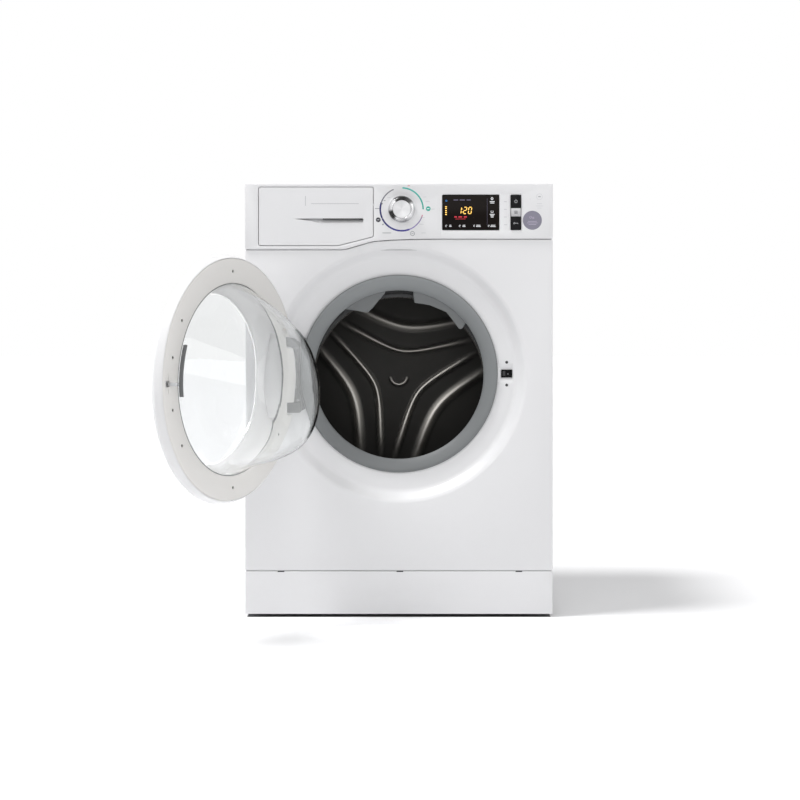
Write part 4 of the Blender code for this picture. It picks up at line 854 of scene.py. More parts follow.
class WASHER_OT_control_panel(bpy.types.Operator):
    """Control panel moulding with its openings and its printed marks"""

    bl_idname = "washer.control_panel"
    bl_label = "Control Panel"

    def execute(self, context):
        back = 0.0405
        outline = [*waist(), (HALF, TOP), (-HALF, TOP)]
        drawer_hole = rounded(grow(drawer_outline(), 0.0010), 0.0040)
        display_hole = rounded(rectangle((0.0845, 0.7545), (0.1955, 0.8235)), 0.0015, 3)
        button_hole = rounded(rectangle((0.2178, 0.7548), (0.2382, 0.8232)), 0.0008, 2)
        bm = bmesh.new()
        rings = flat_face(
            bm, (outline, drawer_hole, circle(KNOB.xz, 0.0066, 32), display_hole, button_hole), FASCIA_FACE,
        )
        for ring, depth in zip(rings, (back, 0.0045, 0.0030, 0.0020, 0.0050)):
            sweep_back(bm, ring, depth)
        soften(bm, 0.0016, 3, 60.0, lambda e: any(abs(v.co.x) > HALF - 1e-4 or v.co.z > TOP - 1e-4
                                                  or abs(v.co.y - FASCIA_FACE) < 1e-5 for v in e.verts)
               and all(v.co.y < 0.001 or abs(v.co.x) > HALF - 1e-4 for v in e.verts))
        wall(piece("control_moulding", bm, "cabinet", "moulding", stands_for=("fascia",)), 0.0018)

        grey, pale, teal = bmesh.new(), bmesh.new(), bmesh.new()
        for x, z, width in (
            (0.0507, 0.8190, 0.006), (0.0560, 0.8105, 0.008), (0.0665, 0.7955, 0.006),
            (0.0470, 0.7790, 0.006), (0.0440, 0.7660, 0.008), (0.0480, 0.7490, 0.008),
            (-0.0195, 0.8180, 0.006),
        ):
            bar(pale, x, z, width, 0.0009, FASCIA_FACE)
        for x, z, width in ((-0.0425, 0.7965, 0.0085), (-0.0235, 0.7490, 0.0170), (-0.0280, 0.8120, 0.0040)):
            bar(grey, x, z, width, 0.0013, FASCIA_FACE)
        for x, z in ((-0.0310, 0.7655), (-0.0330, 0.8060)):
            sign(grey, circle((x, z), 0.0016, 16), FASCIA_FACE)
        sign(teal, circle((0.0572, 0.7962), 0.0046, 32), FASCIA_FACE)
        mark_ring(grey, 0.0265, 0.7478, 0.0046, 0.0011, FASCIA_FACE)
        bar(grey, 0.0265, 0.7478, 0.0040, 0.0010, FASCIA_FACE)
        for z in (0.7650, 0.7800, 0.7950, 0.8100):
            bar(pale, 0.2075, z, 0.0055, 0.0012, FASCIA_FACE)
        bar(pale, 0.2560, 0.8150, 0.0010, 0.0010, FASCIA_FACE)
        mark_ring(pale, 0.2738, 0.8196, 0.0060, 0.0005, FASCIA_FACE, 32)
        bar(grey, 0.2738, 0.8196, 0.0050, 0.0016, FASCIA_FACE)
        for z, width in ((0.8060, 0.010), (0.8015, 0.014), (0.7975, 0.008)):
            bar(pale, 0.2740, z, width, 0.0007, FASCIA_FACE)
        piece("panel_marks_grey", grey, "cabinet", "grey_ink")
        piece("panel_marks_pale", pale, "cabinet", "pale_ink")
        piece("panel_mark_teal", teal, "cabinet", "teal_ink")
        # Painted glow: this printed mark uses the glowing white_sign finish, so it glows though it is no
        # lamp.
        piece("panel_mark_teal_sign", bar(bmesh.new(), 0.0572, 0.7962, 0.0046, 0.0014, FASCIA_FACE - GRAPHIC),
              "cabinet", "white_sign")
        dark = sign(bmesh.new(), circle((-0.0402, 0.7746), 0.0046, 32), FASCIA_FACE)
        piece("panel_mark_dark", dark, "cabinet", "dark_ink")
        piece("panel_mark_dark_sign",
              bar(bmesh.new(), -0.0402, 0.7746, 0.0040, 0.0014, FASCIA_FACE - GRAPHIC),
              "cabinet", "pale_ink")
        piece("panel_mark_red", bar(bmesh.new(), 0.0193, 0.8410, 0.0045, 0.0014, FASCIA_FACE),
              "cabinet", "red_ink")

        scale = bmesh.new()
        radius = sizes().scale_radius
        for start, sweep, width in ((0.0, 88.0, 0.0028), (112.0, 48.0, 0.0022), (161.0, 43.0, 0.0032),
                                    (205.0, 86.0, 0.0032), (291.0, 54.0, 0.0020)):
            mark_ring(scale, KNOB.x, KNOB.z, radius + width / 2, width, FASCIA_FACE, max(8, int(sweep / 2)),
                      start, sweep)
        piece("knob_scale", scale, "cabinet", "scale")

        sticker = sign(bmesh.new(), circle((0.2600, 0.7737), 0.0185, 64), FASCIA_FACE)
        piece("round_sticker", sticker, "cabinet", "badge")
        signs = bmesh.new()
        face = FASCIA_FACE - GRAPHIC
        mark_ring(signs, 0.2565, 0.7795, 0.0024, 0.0008, face)
        bar(signs, 0.2617, 0.7795, 0.0040, 0.0012, face)
        bar(signs, 0.2617, 0.7772, 0.0040, 0.0010, face)
        for z, width in ((0.7715, 0.017), (0.7685, 0.021), (0.7655, 0.015)):
            bar(signs, 0.2600, z, width, 0.0011, face)
        piece("round_sticker_marks", signs, "cabinet", "badge_ink")
        dress("control_board", "board")
        return {"FINISHED"}


SEGMENTS = {"0": "abcdef", "1": "bc", "2": "abged"}


def digit(bm, x, z, width, height, stroke, segments, face):
    """A seven-segment figure with leaning strokes, from its lit segments."""
    lean = 0.12
    half_w, half_h = width / 2, height / 2
    spots = {
        "a": (0, half_h, False), "g": (0, 0, False), "d": (0, -half_h, False),
        "b": (half_w, half_h / 2, True), "c": (half_w, -half_h / 2, True),
        "f": (-half_w, half_h / 2, True), "e": (-half_w, -half_h / 2, True),
    }
    for name in segments:
        sx, sz, upright = spots[name]
        reach = (half_h / 2 if upright else half_w) - stroke * 0.30
        tip = stroke * 0.5
        line = [(-reach, 0), (-reach + tip, -tip), (reach - tip, -tip), (reach, 0), (reach - tip, tip),
                (-reach + tip, tip)]
        if upright:
            line = [(-b, a) for a, b in line]
        line = [(x + sx + a + lean * (sz + b), z + sz + b) for a, b in line]
        sign(bm, line, face)
    return bm


class WASHER_OT_display(bpy.types.Operator):
    """Dark display window with its lit figures and signs"""

    bl_idname = "washer.display"
    bl_label = "Display"

    def execute(self, context):
        face = FASCIA_FACE - 0.0004
        outline = rounded(rectangle((0.0852, 0.7552), (0.1948, 0.8228)), 0.0012, 3)
        pane = soften(slab(outline, face, FASCIA_FACE + 0.0016), 0.0004, 2)
        piece("display_pane", pane, "cabinet", "display_glass", stands_for=("display_window",))
        lit = bmesh.new()
        for x, segments in ((0.1187, SEGMENTS["1"]), (0.1290, SEGMENTS["2"]), (0.1385, SEGMENTS["0"])):
            digit(lit, x, 0.7928, 0.0056, 0.0126, 0.0014, segments, face)
        for z in (0.7955, 0.7898):
            bar(lit, 0.1240, z, 0.0012, 0.0012, face)
        for z in (0.8000, 0.7967, 0.7925, 0.7888, 0.7850):
            bar(lit, 0.0918, z, 0.0032, 0.0019, face)
        piece("display_figures", lit, "cabinet", "digits")
        red = bmesh.new()
        for x, width in ((0.1105, 0.005), (0.1195, 0.007), (0.1295, 0.006)):
            bar(red, x, 0.7802, width, 0.0024, face)
        bar(red, 0.1200, 0.7762, 0.020, 0.0008, face)
        piece("display_red_row", red, "cabinet", "red_sign")
        dim = bmesh.new()
        for x, width in ((0.1110, 0.009), (0.1235, 0.010), (0.1360, 0.008)):
            bar(dim, x, 0.8132, width, 0.0022, face)
        bar(dim, 0.1720, 0.7900, 0.0005, 0.0520, face)
        piece("display_dim_row", dim, "cabinet", "dim_sign")
        blue = mark_ring(bmesh.new(), 0.0925, 0.8117, 0.0018, 0.0009, face)
        piece("display_blue_sign", blue, "cabinet", "blue_sign")
        white = bmesh.new()
        mark_ring(white, 0.1815, 0.8158, 0.0026, 0.0010, face)
        bar(white, 0.1815, 0.8158, 0.0008, 0.0060, face)
        mark_ring(white, 0.1815, 0.7905, 0.0027, 0.0010, face, 24, 130.0, 280.0)
        for z, width in ((0.8100, 0.0095), (0.8073, 0.0080), (0.7852, 0.0095), (0.7825, 0.0070),
                         (0.7800, 0.0050)):
            bar(white, 0.1818, z, width, 0.0014, face)
        for x, width in ((0.0925, 0.0020), (0.1190, 0.0026), (0.1470, 0.0040), (0.1755, 0.0046)):
            mark_ring(white, x, 0.7627, 0.0020, 0.0008, face, 20, 30.0, 250.0)
            for z, share in ((0.7640, 2.6), (0.7615, 3.2)):
                bar(white, x + 0.0078, z, width * share / 1.4, 0.0012, face)
        piece("display_white_signs", white, "cabinet", "white_sign")
        return {"FINISHED"}


class WASHER_OT_knob(bpy.types.Operator):
    """Programme knob: a turned ring, a dished face and a pointer"""

    bl_idname = "washer.knob"
    bl_label = "Programme Knob"

    def execute(self, context):
        r = sizes().knob_radius
        face = FASCIA_FACE - 0.0185
        ring = smooth_line([
            (FASCIA_FACE - 0.0006, r - 0.0006), (FASCIA_FACE - 0.0040, r), (face + 0.0080, r - 0.0004),
            (face + 0.0040, r - 0.0014), (face + 0.0012, r - 0.0034), (face - 0.0004, r - 0.0062),
            (face - 0.0002, r - 0.0076), (face + 0.0008, r - 0.0084),
        ], 4) + [(face + 0.0030, r - 0.0085), (face + 0.0030, r - 0.0095), (FASCIA_FACE - 0.0006, r - 0.0095)]
        bm = lathe(ring, KNOB)
        piece("knob_ring", bm, "knob", "chrome", stands_for=("programme_knob",))
        cap = [(FASCIA_FACE - 0.0010, 0.0), (FASCIA_FACE - 0.0010, r - 0.0098), (face + 0.0012, r - 0.0087),
               (face + 0.0004, r - 0.0092), (face + 0.0005, r - 0.0110), (face + 0.0013, 0.0080),
               (face + 0.0016, 0.0)]
        piece("knob_face", lathe(cap, KNOB, steps=96), "knob", "knob_face")
        seat = [(FASCIA_FACE - 0.0006, r - 0.0004), (FASCIA_FACE - 0.0006, r + 0.0016),
                (FASCIA_FACE - 0.0001, r + 0.0024), (FASCIA_FACE + 0.0002, r + 0.0024),
                (FASCIA_FACE + 0.0002, r - 0.0004)]
        piece("knob_seat", lathe(seat, KNOB, steps=96), "cabinet", "moulding")
        pointer = brick((KNOB.x - 0.0006, face - 0.0009, KNOB.z + r - 0.0044),
                        (KNOB.x + 0.0006, face, KNOB.z + r - 0.0020))
        bmesh.ops.rotate(pointer, verts=pointer.verts, cent=KNOB,
                         matrix=Matrix.Rotation(math.radians(25), 3, "Y"))
        piece("knob_pointer", soften(pointer, 0.0002, 2), "knob", "dark_ink")
        return {"FINISHED"}


class WASHER_OT_buttons(bpy.types.Operator):
    """Three push buttons with their signs"""

    bl_idname = "washer.buttons"
    bl_label = "Push Buttons"

    def execute(self, context):
        for name, look in (("power_button", "button_black"), ("start_button", "silver_button"),
                           ("option_button", "button_black")):
            low, high = own_box(name)
            outline = rounded(rectangle((low.x, low.z), (high.x, high.z)), 0.0009, 3)
            bm = soften(slab(outline, low.y, high.y), 0.0006, 3)
            piece(name + "_cap", bm, name, look, stands_for=(name,))
            x, z, face = (low.x + high.x) / 2, (low.z + high.z) / 2, low.y
            bm = bmesh.new()
            if name == "power_button":
                mark_ring(bm, x, z, 0.0030, 0.0007, face, 24, 110.0, 320.0)
                bar(bm, x, z + 0.0024, 0.0007, 0.0030, face)
            elif name == "start_button":
                mark_ring(bm, x, z, 0.0040, 0.0011, face, 4, 45.0, 360.0)
                bar(bm, x, z, 0.0020, 0.0020, face)
            else:
                mark_ring(bm, x - 0.0032, z, 0.0017, 0.0006, face)
                bar(bm, x + 0.0012, z, 0.0060, 0.0007, face)
                bar(bm, x + 0.0036, z - 0.0008, 0.0007, 0.0016, face)
            ink = "dark_ink" if name == "start_button" else "pale_ink"
            piece(name + "_sign", bm, name, ink)
        return {"FINISHED"}


class WASHER_OT_drawer(bpy.types.Operator):
    """Detergent drawer: front with its finger scoop, tray, flap and the housing it slides in"""

    bl_idname = "washer.drawer"
    bl_label = "Detergent Drawer"

    def execute(self, context):
        outline = rounded(drawer_outline(), 0.0030)
        mouth = [
            (-0.2070, 0.7769), (-0.1820, 0.7738), (-0.1560, 0.7690), (-0.1480, 0.7652), (-0.1400, 0.7640),
            (-0.0740, 0.7640), (-0.0700, 0.7662), (-0.0690, 0.7760), (-0.0700, 0.7774), (-0.1500, 0.7774),
        ]
        bm = bmesh.new()
        rings = flat_face(bm, (outline, mouth), FASCIA_FACE)
        sweep_back(bm, rings[0], 0.0036)
        inner = sweep_back(bm, rings[1], FASCIA_FACE + 0.0022)
        roof = max(v.co.z for v in inner)
        for v in sweep_back(bm, inner, 0.0110):
            v.co.y -= 0.0125 * min(1.0, (roof - v.co.z) / 0.0115)
            v.co.z += 0.30 * (roof - v.co.z)
        floor = [
            e for e in bm.edges
            if e.is_boundary and all(
                v.co.y > FASCIA_FACE and -0.21 < v.co.x < -0.06 and 0.7600 < v.co.z < 0.7785 for v in e.verts)
        ]
        bmesh.ops.contextual_create(bm, geom=floor)
        soften(bm, 0.0009, 3, 50.0)
        front = piece("drawer_face", bm, "drawer", "moulding", stands_for=("drawer_front",),
                      angle=14.0)
        wall(front, 0.0012)
        # Painted shade: a dark bar under the scoop's roof stands for the shadow in the grip.
        grip_shade = brick((-0.1485, FASCIA_FACE + 0.0020, 0.7750), (-0.0706, FASCIA_FACE + 0.0070, 0.7772))
        piece("drawer_grip_painted_shade", soften(grip_shade, 0.0003, 1), "drawer", "dark_moulding")
        lines = bar(bmesh.new(), -0.1820, 0.8115, 0.0006, 0.0190, FASCIA_FACE)
        bar(lines, -0.1245, 0.8060, 0.0930, 0.0006, FASCIA_FACE)
        piece("drawer_lines", lines, "drawer", "grey_ink")

        low, high = own_box("drawer_tray")
        bm = brick(low, high)
        cuts = [low.x + share * (high.x - low.x) for share in (0.360, 0.650)]
        for x in cuts:
            geom = bm.verts[:] + bm.edges[:] + bm.faces[:]
            bmesh.ops.bisect_plane(bm, geom=geom, plane_co=(x, 0, 0), plane_no=(1, 0, 0))
        tops = [f for f in bm.faces if f.normal.z > 0.9 or f.calc_center_median().z > high.z - 1e-5]
        bmesh.ops.inset_individual(bm, faces=tops, thickness=0.0011, depth=0.0)
        made = bmesh.ops.extrude_discrete_faces(bm, faces=tops)["faces"]
        bmesh.ops.translate(bm, verts=list({v for f in made for v in f.verts}),
                            vec=(0, 0, -(high.z - low.z) + 0.0022))
        for f in made:
            bmesh.ops.scale(bm, verts=f.verts, vec=(0.97, 0.985, 1.0),
                            space=Matrix.Translation(-f.calc_center_median()))
        soften(bm, 0.0016, 3, 50.0)
        piece("drawer_bins", bm, "drawer", "moulding", stands_for=("drawer_tray",))
        rail = brick((low.x + 0.004, low.y + 0.004, high.z - 0.0030),
                     (cuts[0] - 0.003, low.y + 0.0062, high.z - 0.0006))
        for y in (0.060, 0.110, 0.160, 0.210):
            brick((low.x + 0.0035, low.y + y, low.z + 0.0030),
                  (low.x + 0.0050, low.y + y + 0.002, high.z - 0.012), rail)
            brick((high.x - 0.0050, low.y + y, low.z + 0.0030),
                  (high.x - 0.0035, low.y + y + 0.002, high.z - 0.012), rail)
        piece("drawer_bin_ribs", soften(rail, 0.0004, 2), "drawer", "moulding")
        flap = slab(rounded(rectangle((cuts[0] + 0.004, low.y + 0.150), (cuts[1] - 0.004, high.y - 0.004)),
                            0.004), -0.0008, 0.0008)
        bmesh.ops.rotate(flap, verts=flap.verts, matrix=Matrix.Rotation(math.radians(90), 3, "X"))
        bmesh.ops.translate(flap, verts=flap.verts, vec=(0, 0, high.z - 0.0045))
        for v in flap.verts:
            v.co.y = abs(v.co.y)
        piece("softener_cover", soften(flap, 0.0006, 2), "drawer", "grey_moulding")
        dress("dispenser_housing", "tub")
        return {"FINISHED"}


SCREW_ANGLES = (90, 34, 13.5, -13.5, -34, 270, 146, 214)
SCREW_CIRCLE = 0.2002
HINGE_WELL = 0.077
HINGE_TAB = 0.053


class WASHER_OT_door(bpy.types.Operator):
    """Door: shell, inner ring with its screws, glass bowl, window, lever, latch hook and hinge"""

    bl_idname = "washer.door"
    bl_label = "Door"

    def hinge_gap(self, bm, low, high):
        """Cuts away the rim where the hinge stands, between two heights."""
        x = HINGE_AXIS.x + 0.0347
        for co, no in (((x, 0, 0), (1, 0, 0)), ((0, 0, PORT + low), (0, 0, 1)),
                       ((0, 0, PORT + high), (0, 0, 1))):
            bmesh.ops.bisect_plane(bm, geom=bm.verts[:] + bm.edges[:] + bm.faces[:], plane_co=co, plane_no=no)
        gone = [
            f for f in bm.faces
            if f.calc_center_median().x < x and PORT + low < f.calc_center_median().z < PORT + high
        ]
        bmesh.ops.delete(bm, geom=gone, context="FACES")
        rim = [e for e in bm.edges if e.is_boundary]
        bmesh.ops.holes_fill(bm, edges=rim)
        return bm

    def execute(self, context):
        centre = (0.0, 0.0, PORT)
        outer = smooth_line([
            (0.0072, 0.2247), (0.0068, 0.2256), (0.0040, 0.2268), (-0.0020, 0.2288), (-0.0060, 0.2304),
            (-0.0085, 0.2310), (-0.0115, 0.2305), (-0.0140, 0.2280), (-0.0180, 0.2214), (-0.0260, 0.2066),
            (-0.0340, 0.1918), (-0.0385, 0.1832), (-0.0420, 0.1750), (-0.0433, 0.1690), (-0.0430, 0.1625),
            (-0.0418, 0.1590),
        ], 3)
        inner = [(-0.0385, 0.1590), (-0.0402, 0.1640), (-0.0404, 0.1690), (-0.0390, 0.1741),
                 (-0.0350, 0.1824), (-0.0133, 0.2231), (-0.0096, 0.2274), (-0.0060, 0.2276),
                 (-0.0020, 0.2258), (0.0035, 0.2244)]
        shell = self.hinge_gap(lathe(outer + inner, centre), -HINGE_WELL, HINGE_WELL)
        shell = piece("door_shell", shell, "door", "door_shell", DOOR, ("door_outer_ring",))
        grip_in, grip_out, grip_half = 0.1632, 0.2063, 0.0473
        grip = rounded(rectangle((grip_in, PORT - grip_half), (grip_out, PORT + grip_half)), 0.006)
        self.carve(shell, slab(grip, -0.0600, -0.0150))
        pocket = bmesh.new()
        rings = []
        for y, inset, share in ((-0.0408, -0.0002, -0.62), (-0.0300, 0.0004, -0.30), (-0.0180, 0.0010, 0.0),
                                (-0.0150, 0.0036, 0.0)):
            outline = rounded(rectangle((grip_in + inset, PORT - grip_half + inset),
                                        (grip_out - inset, PORT + grip_half - inset)), 0.006)
            rings.append([pocket.verts.new((x, y - 0.62 * (x - grip_in) * share, z)) for x, z in outline])
        skin(pocket, [loop_edges(pocket, ring) for ring in rings])
        wall(piece("door_grip_pocket", pocket, "door", "moulding", DOOR), 0.0012, 1.0)

        ring = smooth_line([(0.0042, 0.1775), (0.0068, 0.1778), (0.0084, 0.1790), (0.0088, 0.1812)], 3)[:-1]
        ring += [(0.0088, 0.1812), (0.0090, 0.1960), (0.0088, 0.2205), (0.0082, 0.2226), (0.0068, 0.2238),
                 (0.0040, 0.2240)]
        face = self.hinge_gap(lathe(ring, centre), HINGE_TAB, HINGE_WELL)
        face = self.hinge_gap(face, -HINGE_WELL, -HINGE_TAB)
        frame_ring = piece("door_face_ring", face, "door", "door_ring", DOOR, ("door_inner_frame",))
        cutter = brick((0.2052, -0.01, PORT - 0.0055), (0.2168, 0.02, PORT + 0.0055))
        brick((0.2085, -0.01, PORT - 0.0190), (0.2098, 0.02, PORT - 0.0070), cutter)
        brick((0.2085, -0.01, PORT + 0.0070), (0.2098, 0.02, PORT + 0.0190), cutter)
        for angle in SCREW_ANGLES:
            x, z = on_circle(centre[::2], SCREW_CIRCLE, angle)
            spin(cutter, [(0.0060, 0.0), (0.0060, 0.0030), (0.02, 0.0036), (0.02, 0.0)], "Y", 20, 360.0,
                 True, (x, 0, z))
        self.carve(frame_ring, cutter)
        heads = bmesh.new()
        for angle in SCREW_ANGLES:
            x, z = on_circle(centre[::2], SCREW_CIRCLE, angle)
            screw_head(heads, (x, 0.0066, z), 0.0030, 1.0)
        piece("door_screws", heads, "door", "ring_screw", DOOR)
        gasket = [(0.0036, 0.1764), (0.0036, 0.1774), (0.0080, 0.1780), (0.0086, 0.1775), (0.0078, 0.1766)]
        piece("door_glass_trim", lathe(gasket, centre), "door", "grey_moulding", DOOR)

        self.glass(centre)
        self.lever(centre)
        self.hinge()
        return {"FINISHED"}

    def carve(self, obj, cutter):
        """Cuts a shape from a piece, once and for all."""
        bmesh.ops.recalc_face_normals(cutter, faces=cutter.faces)
        bmesh.ops.transform(cutter, matrix=DOOR, verts=cutter.verts)
        mesh = bpy.data.meshes.new("cutter")
        cutter.to_mesh(mesh)
        cutter.free()
        tool = bpy.data.objects.new("cutter", mesh)
        bpy.context.scene.collection.objects.link(tool)
        modifier = obj.modifiers.new("Carve", "BOOLEAN")
        modifier.operation = "DIFFERENCE"
        modifier.solver = "EXACT"
        modifier.object = tool
        bpy.context.view_layer.update()
        depsgraph = bpy.context.evaluated_depsgraph_get()
        made = bpy.data.meshes.new_from_object(obj.evaluated_get(depsgraph), depsgraph=depsgraph)
        obj.modifiers.remove(modifier)
        look = obj.data.materials[0]
        obj.data = made
        made.materials.clear()
        made.materials.append(look)
        made.shade_smooth()
        made.set_sharp_from_angle(angle=math.radians(32))
        bpy.data.objects.remove(tool)

    def glass(self, centre):
        """The bowl, which leans and drops a little towards its bottom, and the window outside it."""
        levels = smooth_line([
            # depth, radius, drop of the centre, lean
            (0.0036, 0.1850, 0.0, 0.0), (0.0036, 0.1765, 0.0, 0.0), (0.0120, 0.1712, 0.0, 0.0),
            (0.0300, 0.1612, 0.0010, 0.0), (0.0620, 0.1476, 0.0050, 0.017), (0.0940, 0.1325, 0.0100, 0.040),
            (0.1200, 0.1160, 0.0140, 0.059), (0.1330, 0.0985, 0.0170, 0.080), (0.1378, 0.0770, 0.0180, 0.089),
            (0.1390, 0.0400, 0.0180, 0.089), (0.1392, 0.0100, 0.0180, 0.089),
        ], 4)
        bowl = bmesh.new()
        loops = []
        for y, radius, drop, lean in levels:
            verts = bmesh.ops.create_circle(bowl, segments=128, radius=radius)["verts"]
            for v in verts:
                v.co = Vector((v.co.x, y - lean * v.co.y, v.co.y + PORT - drop))
            loops.append(list({e for v in verts for e in v.link_edges}))
        skin(bowl, loops)
        bowl = piece("door_bowl", bowl, "door", "glass", DOOR, ("door_glass",), 60.0)
        wall(bowl, 0.0034)
        pane = smooth_line([(-0.0428, 0.0), (-0.0426, 0.0400), (-0.0420, 0.0850), (-0.0404, 0.1300),
                            (-0.0390, 0.1562)], 3)
        pane += [(-0.0362, 0.1562), *[(y + 0.0028, r) for y, r in reversed(pane[:-1])]]
        piece("door_pane", lathe(pane, centre), "door", "pane_glass", DOOR, ("door_window",),
              60.0)

    def lever(self, centre):
        """The lever with its ribs, the strip seen behind the glass, and the latch hook."""
        section = [(0.1820, -0.0350), (0.2031, -0.0240), (0.2031, -0.0190), (0.1820, -0.0300)]
        bm = soften(self.upright(section, 0.0465), 0.0018, 4)
        piece("lever_plate", bm, "handle", "grey_moulding", DOOR, ("door_handle",))
        ribs = bmesh.new()
        for k in range(15):
            z = 0.0055 * (k - 7)
            rib = [(0.1845, -0.0290), (0.1965, -0.0228), (0.1962, -0.0216), (0.1842, -0.0278)]
            self.upright(rib, 0.0009, z, ribs)
        piece("lever_ribs", soften(ribs, 0.0003, 2), "handle", "dark_moulding", DOOR)
        outline = arc(centre[::2], 0.1758, 23.0, -8.0, 24) + arc(centre[::2], 0.1742, -8.0, 23.0, 24)
        strip = slab(outline, 0.0086, 0.0170)
        for k in range(22):
            x, z = on_circle(centre[::2], 0.1738, 1.4 * k - 7.3)
            brick((x - 0.0006, 0.0092, z - 0.0010), (x + 0.0006, 0.0166, z + 0.0010), strip)
        piece("door_rib_strip", soften(strip, 0.0003, 1), "door", "grey_moulding", DOOR)
        claw = [
            (0.2082, -0.0040), (0.2128, -0.0040), (0.2130, 0.0180), (0.2130, 0.0295), (0.2122, 0.0305),
            (0.2048, 0.0282), (0.2042, 0.0268), (0.2050, 0.0256), (0.2084, 0.0250),
        ]
        piece("latch_claw", soften(self.upright(claw, 0.0029), 0.0005, 2), "latch", "zinc", DOOR,
              ("latch_hook",))

    def upright(self, section, half, middle=0.0, bm=None):
        """A bar along the machine's height, from its section seen from above."""
        made = slab([(x, -y) for x, y in section], -half, half)
        bmesh.ops.rotate(made, verts=made.verts, matrix=Matrix.Rotation(math.radians(90), 3, "X"))
        bmesh.ops.translate(made, verts=made.verts, vec=(0, 0, PORT + middle))
        return merge(made, bm)

    def hinge(self):
        """What shows of the hinge: its cover and screws, and the wall beside its well."""
        screen = slab(rectangle((-0.1880, PORT - 0.0800), (-0.1860, PORT + 0.0800)), -0.0370, 0.0030)
        piece("hinge_well_wall", soften(screen, 0.0004, 2), "door", "door_shell", DOOR)
        dress("hinge_bracket", "grey_moulding")
        dress("door_hinge_leaf", "zinc")
        dress("hinge_pin", "zinc")
        outline = arc((0.0, PORT), 0.2120, 160.5, 199.5, 20) + arc((0.0, PORT), 0.1965, 199.5, 160.5, 20)
        cover = slab(outline, 0.0105, 0.0123)
        piece("hinge_cover", soften(cover, 0.0007, 3), "cabinet", "grey_moulding")
        heads = bmesh.new()
        for angle in (165.0, 172.5, 187.5, 195.0):
            x, z = on_circle((0.0, PORT), 0.2043, angle)
            screw_head(heads, (x, 0.0106, z), 0.0030)
        piece("hinge_screws", heads, "cabinet", "steel_screw")


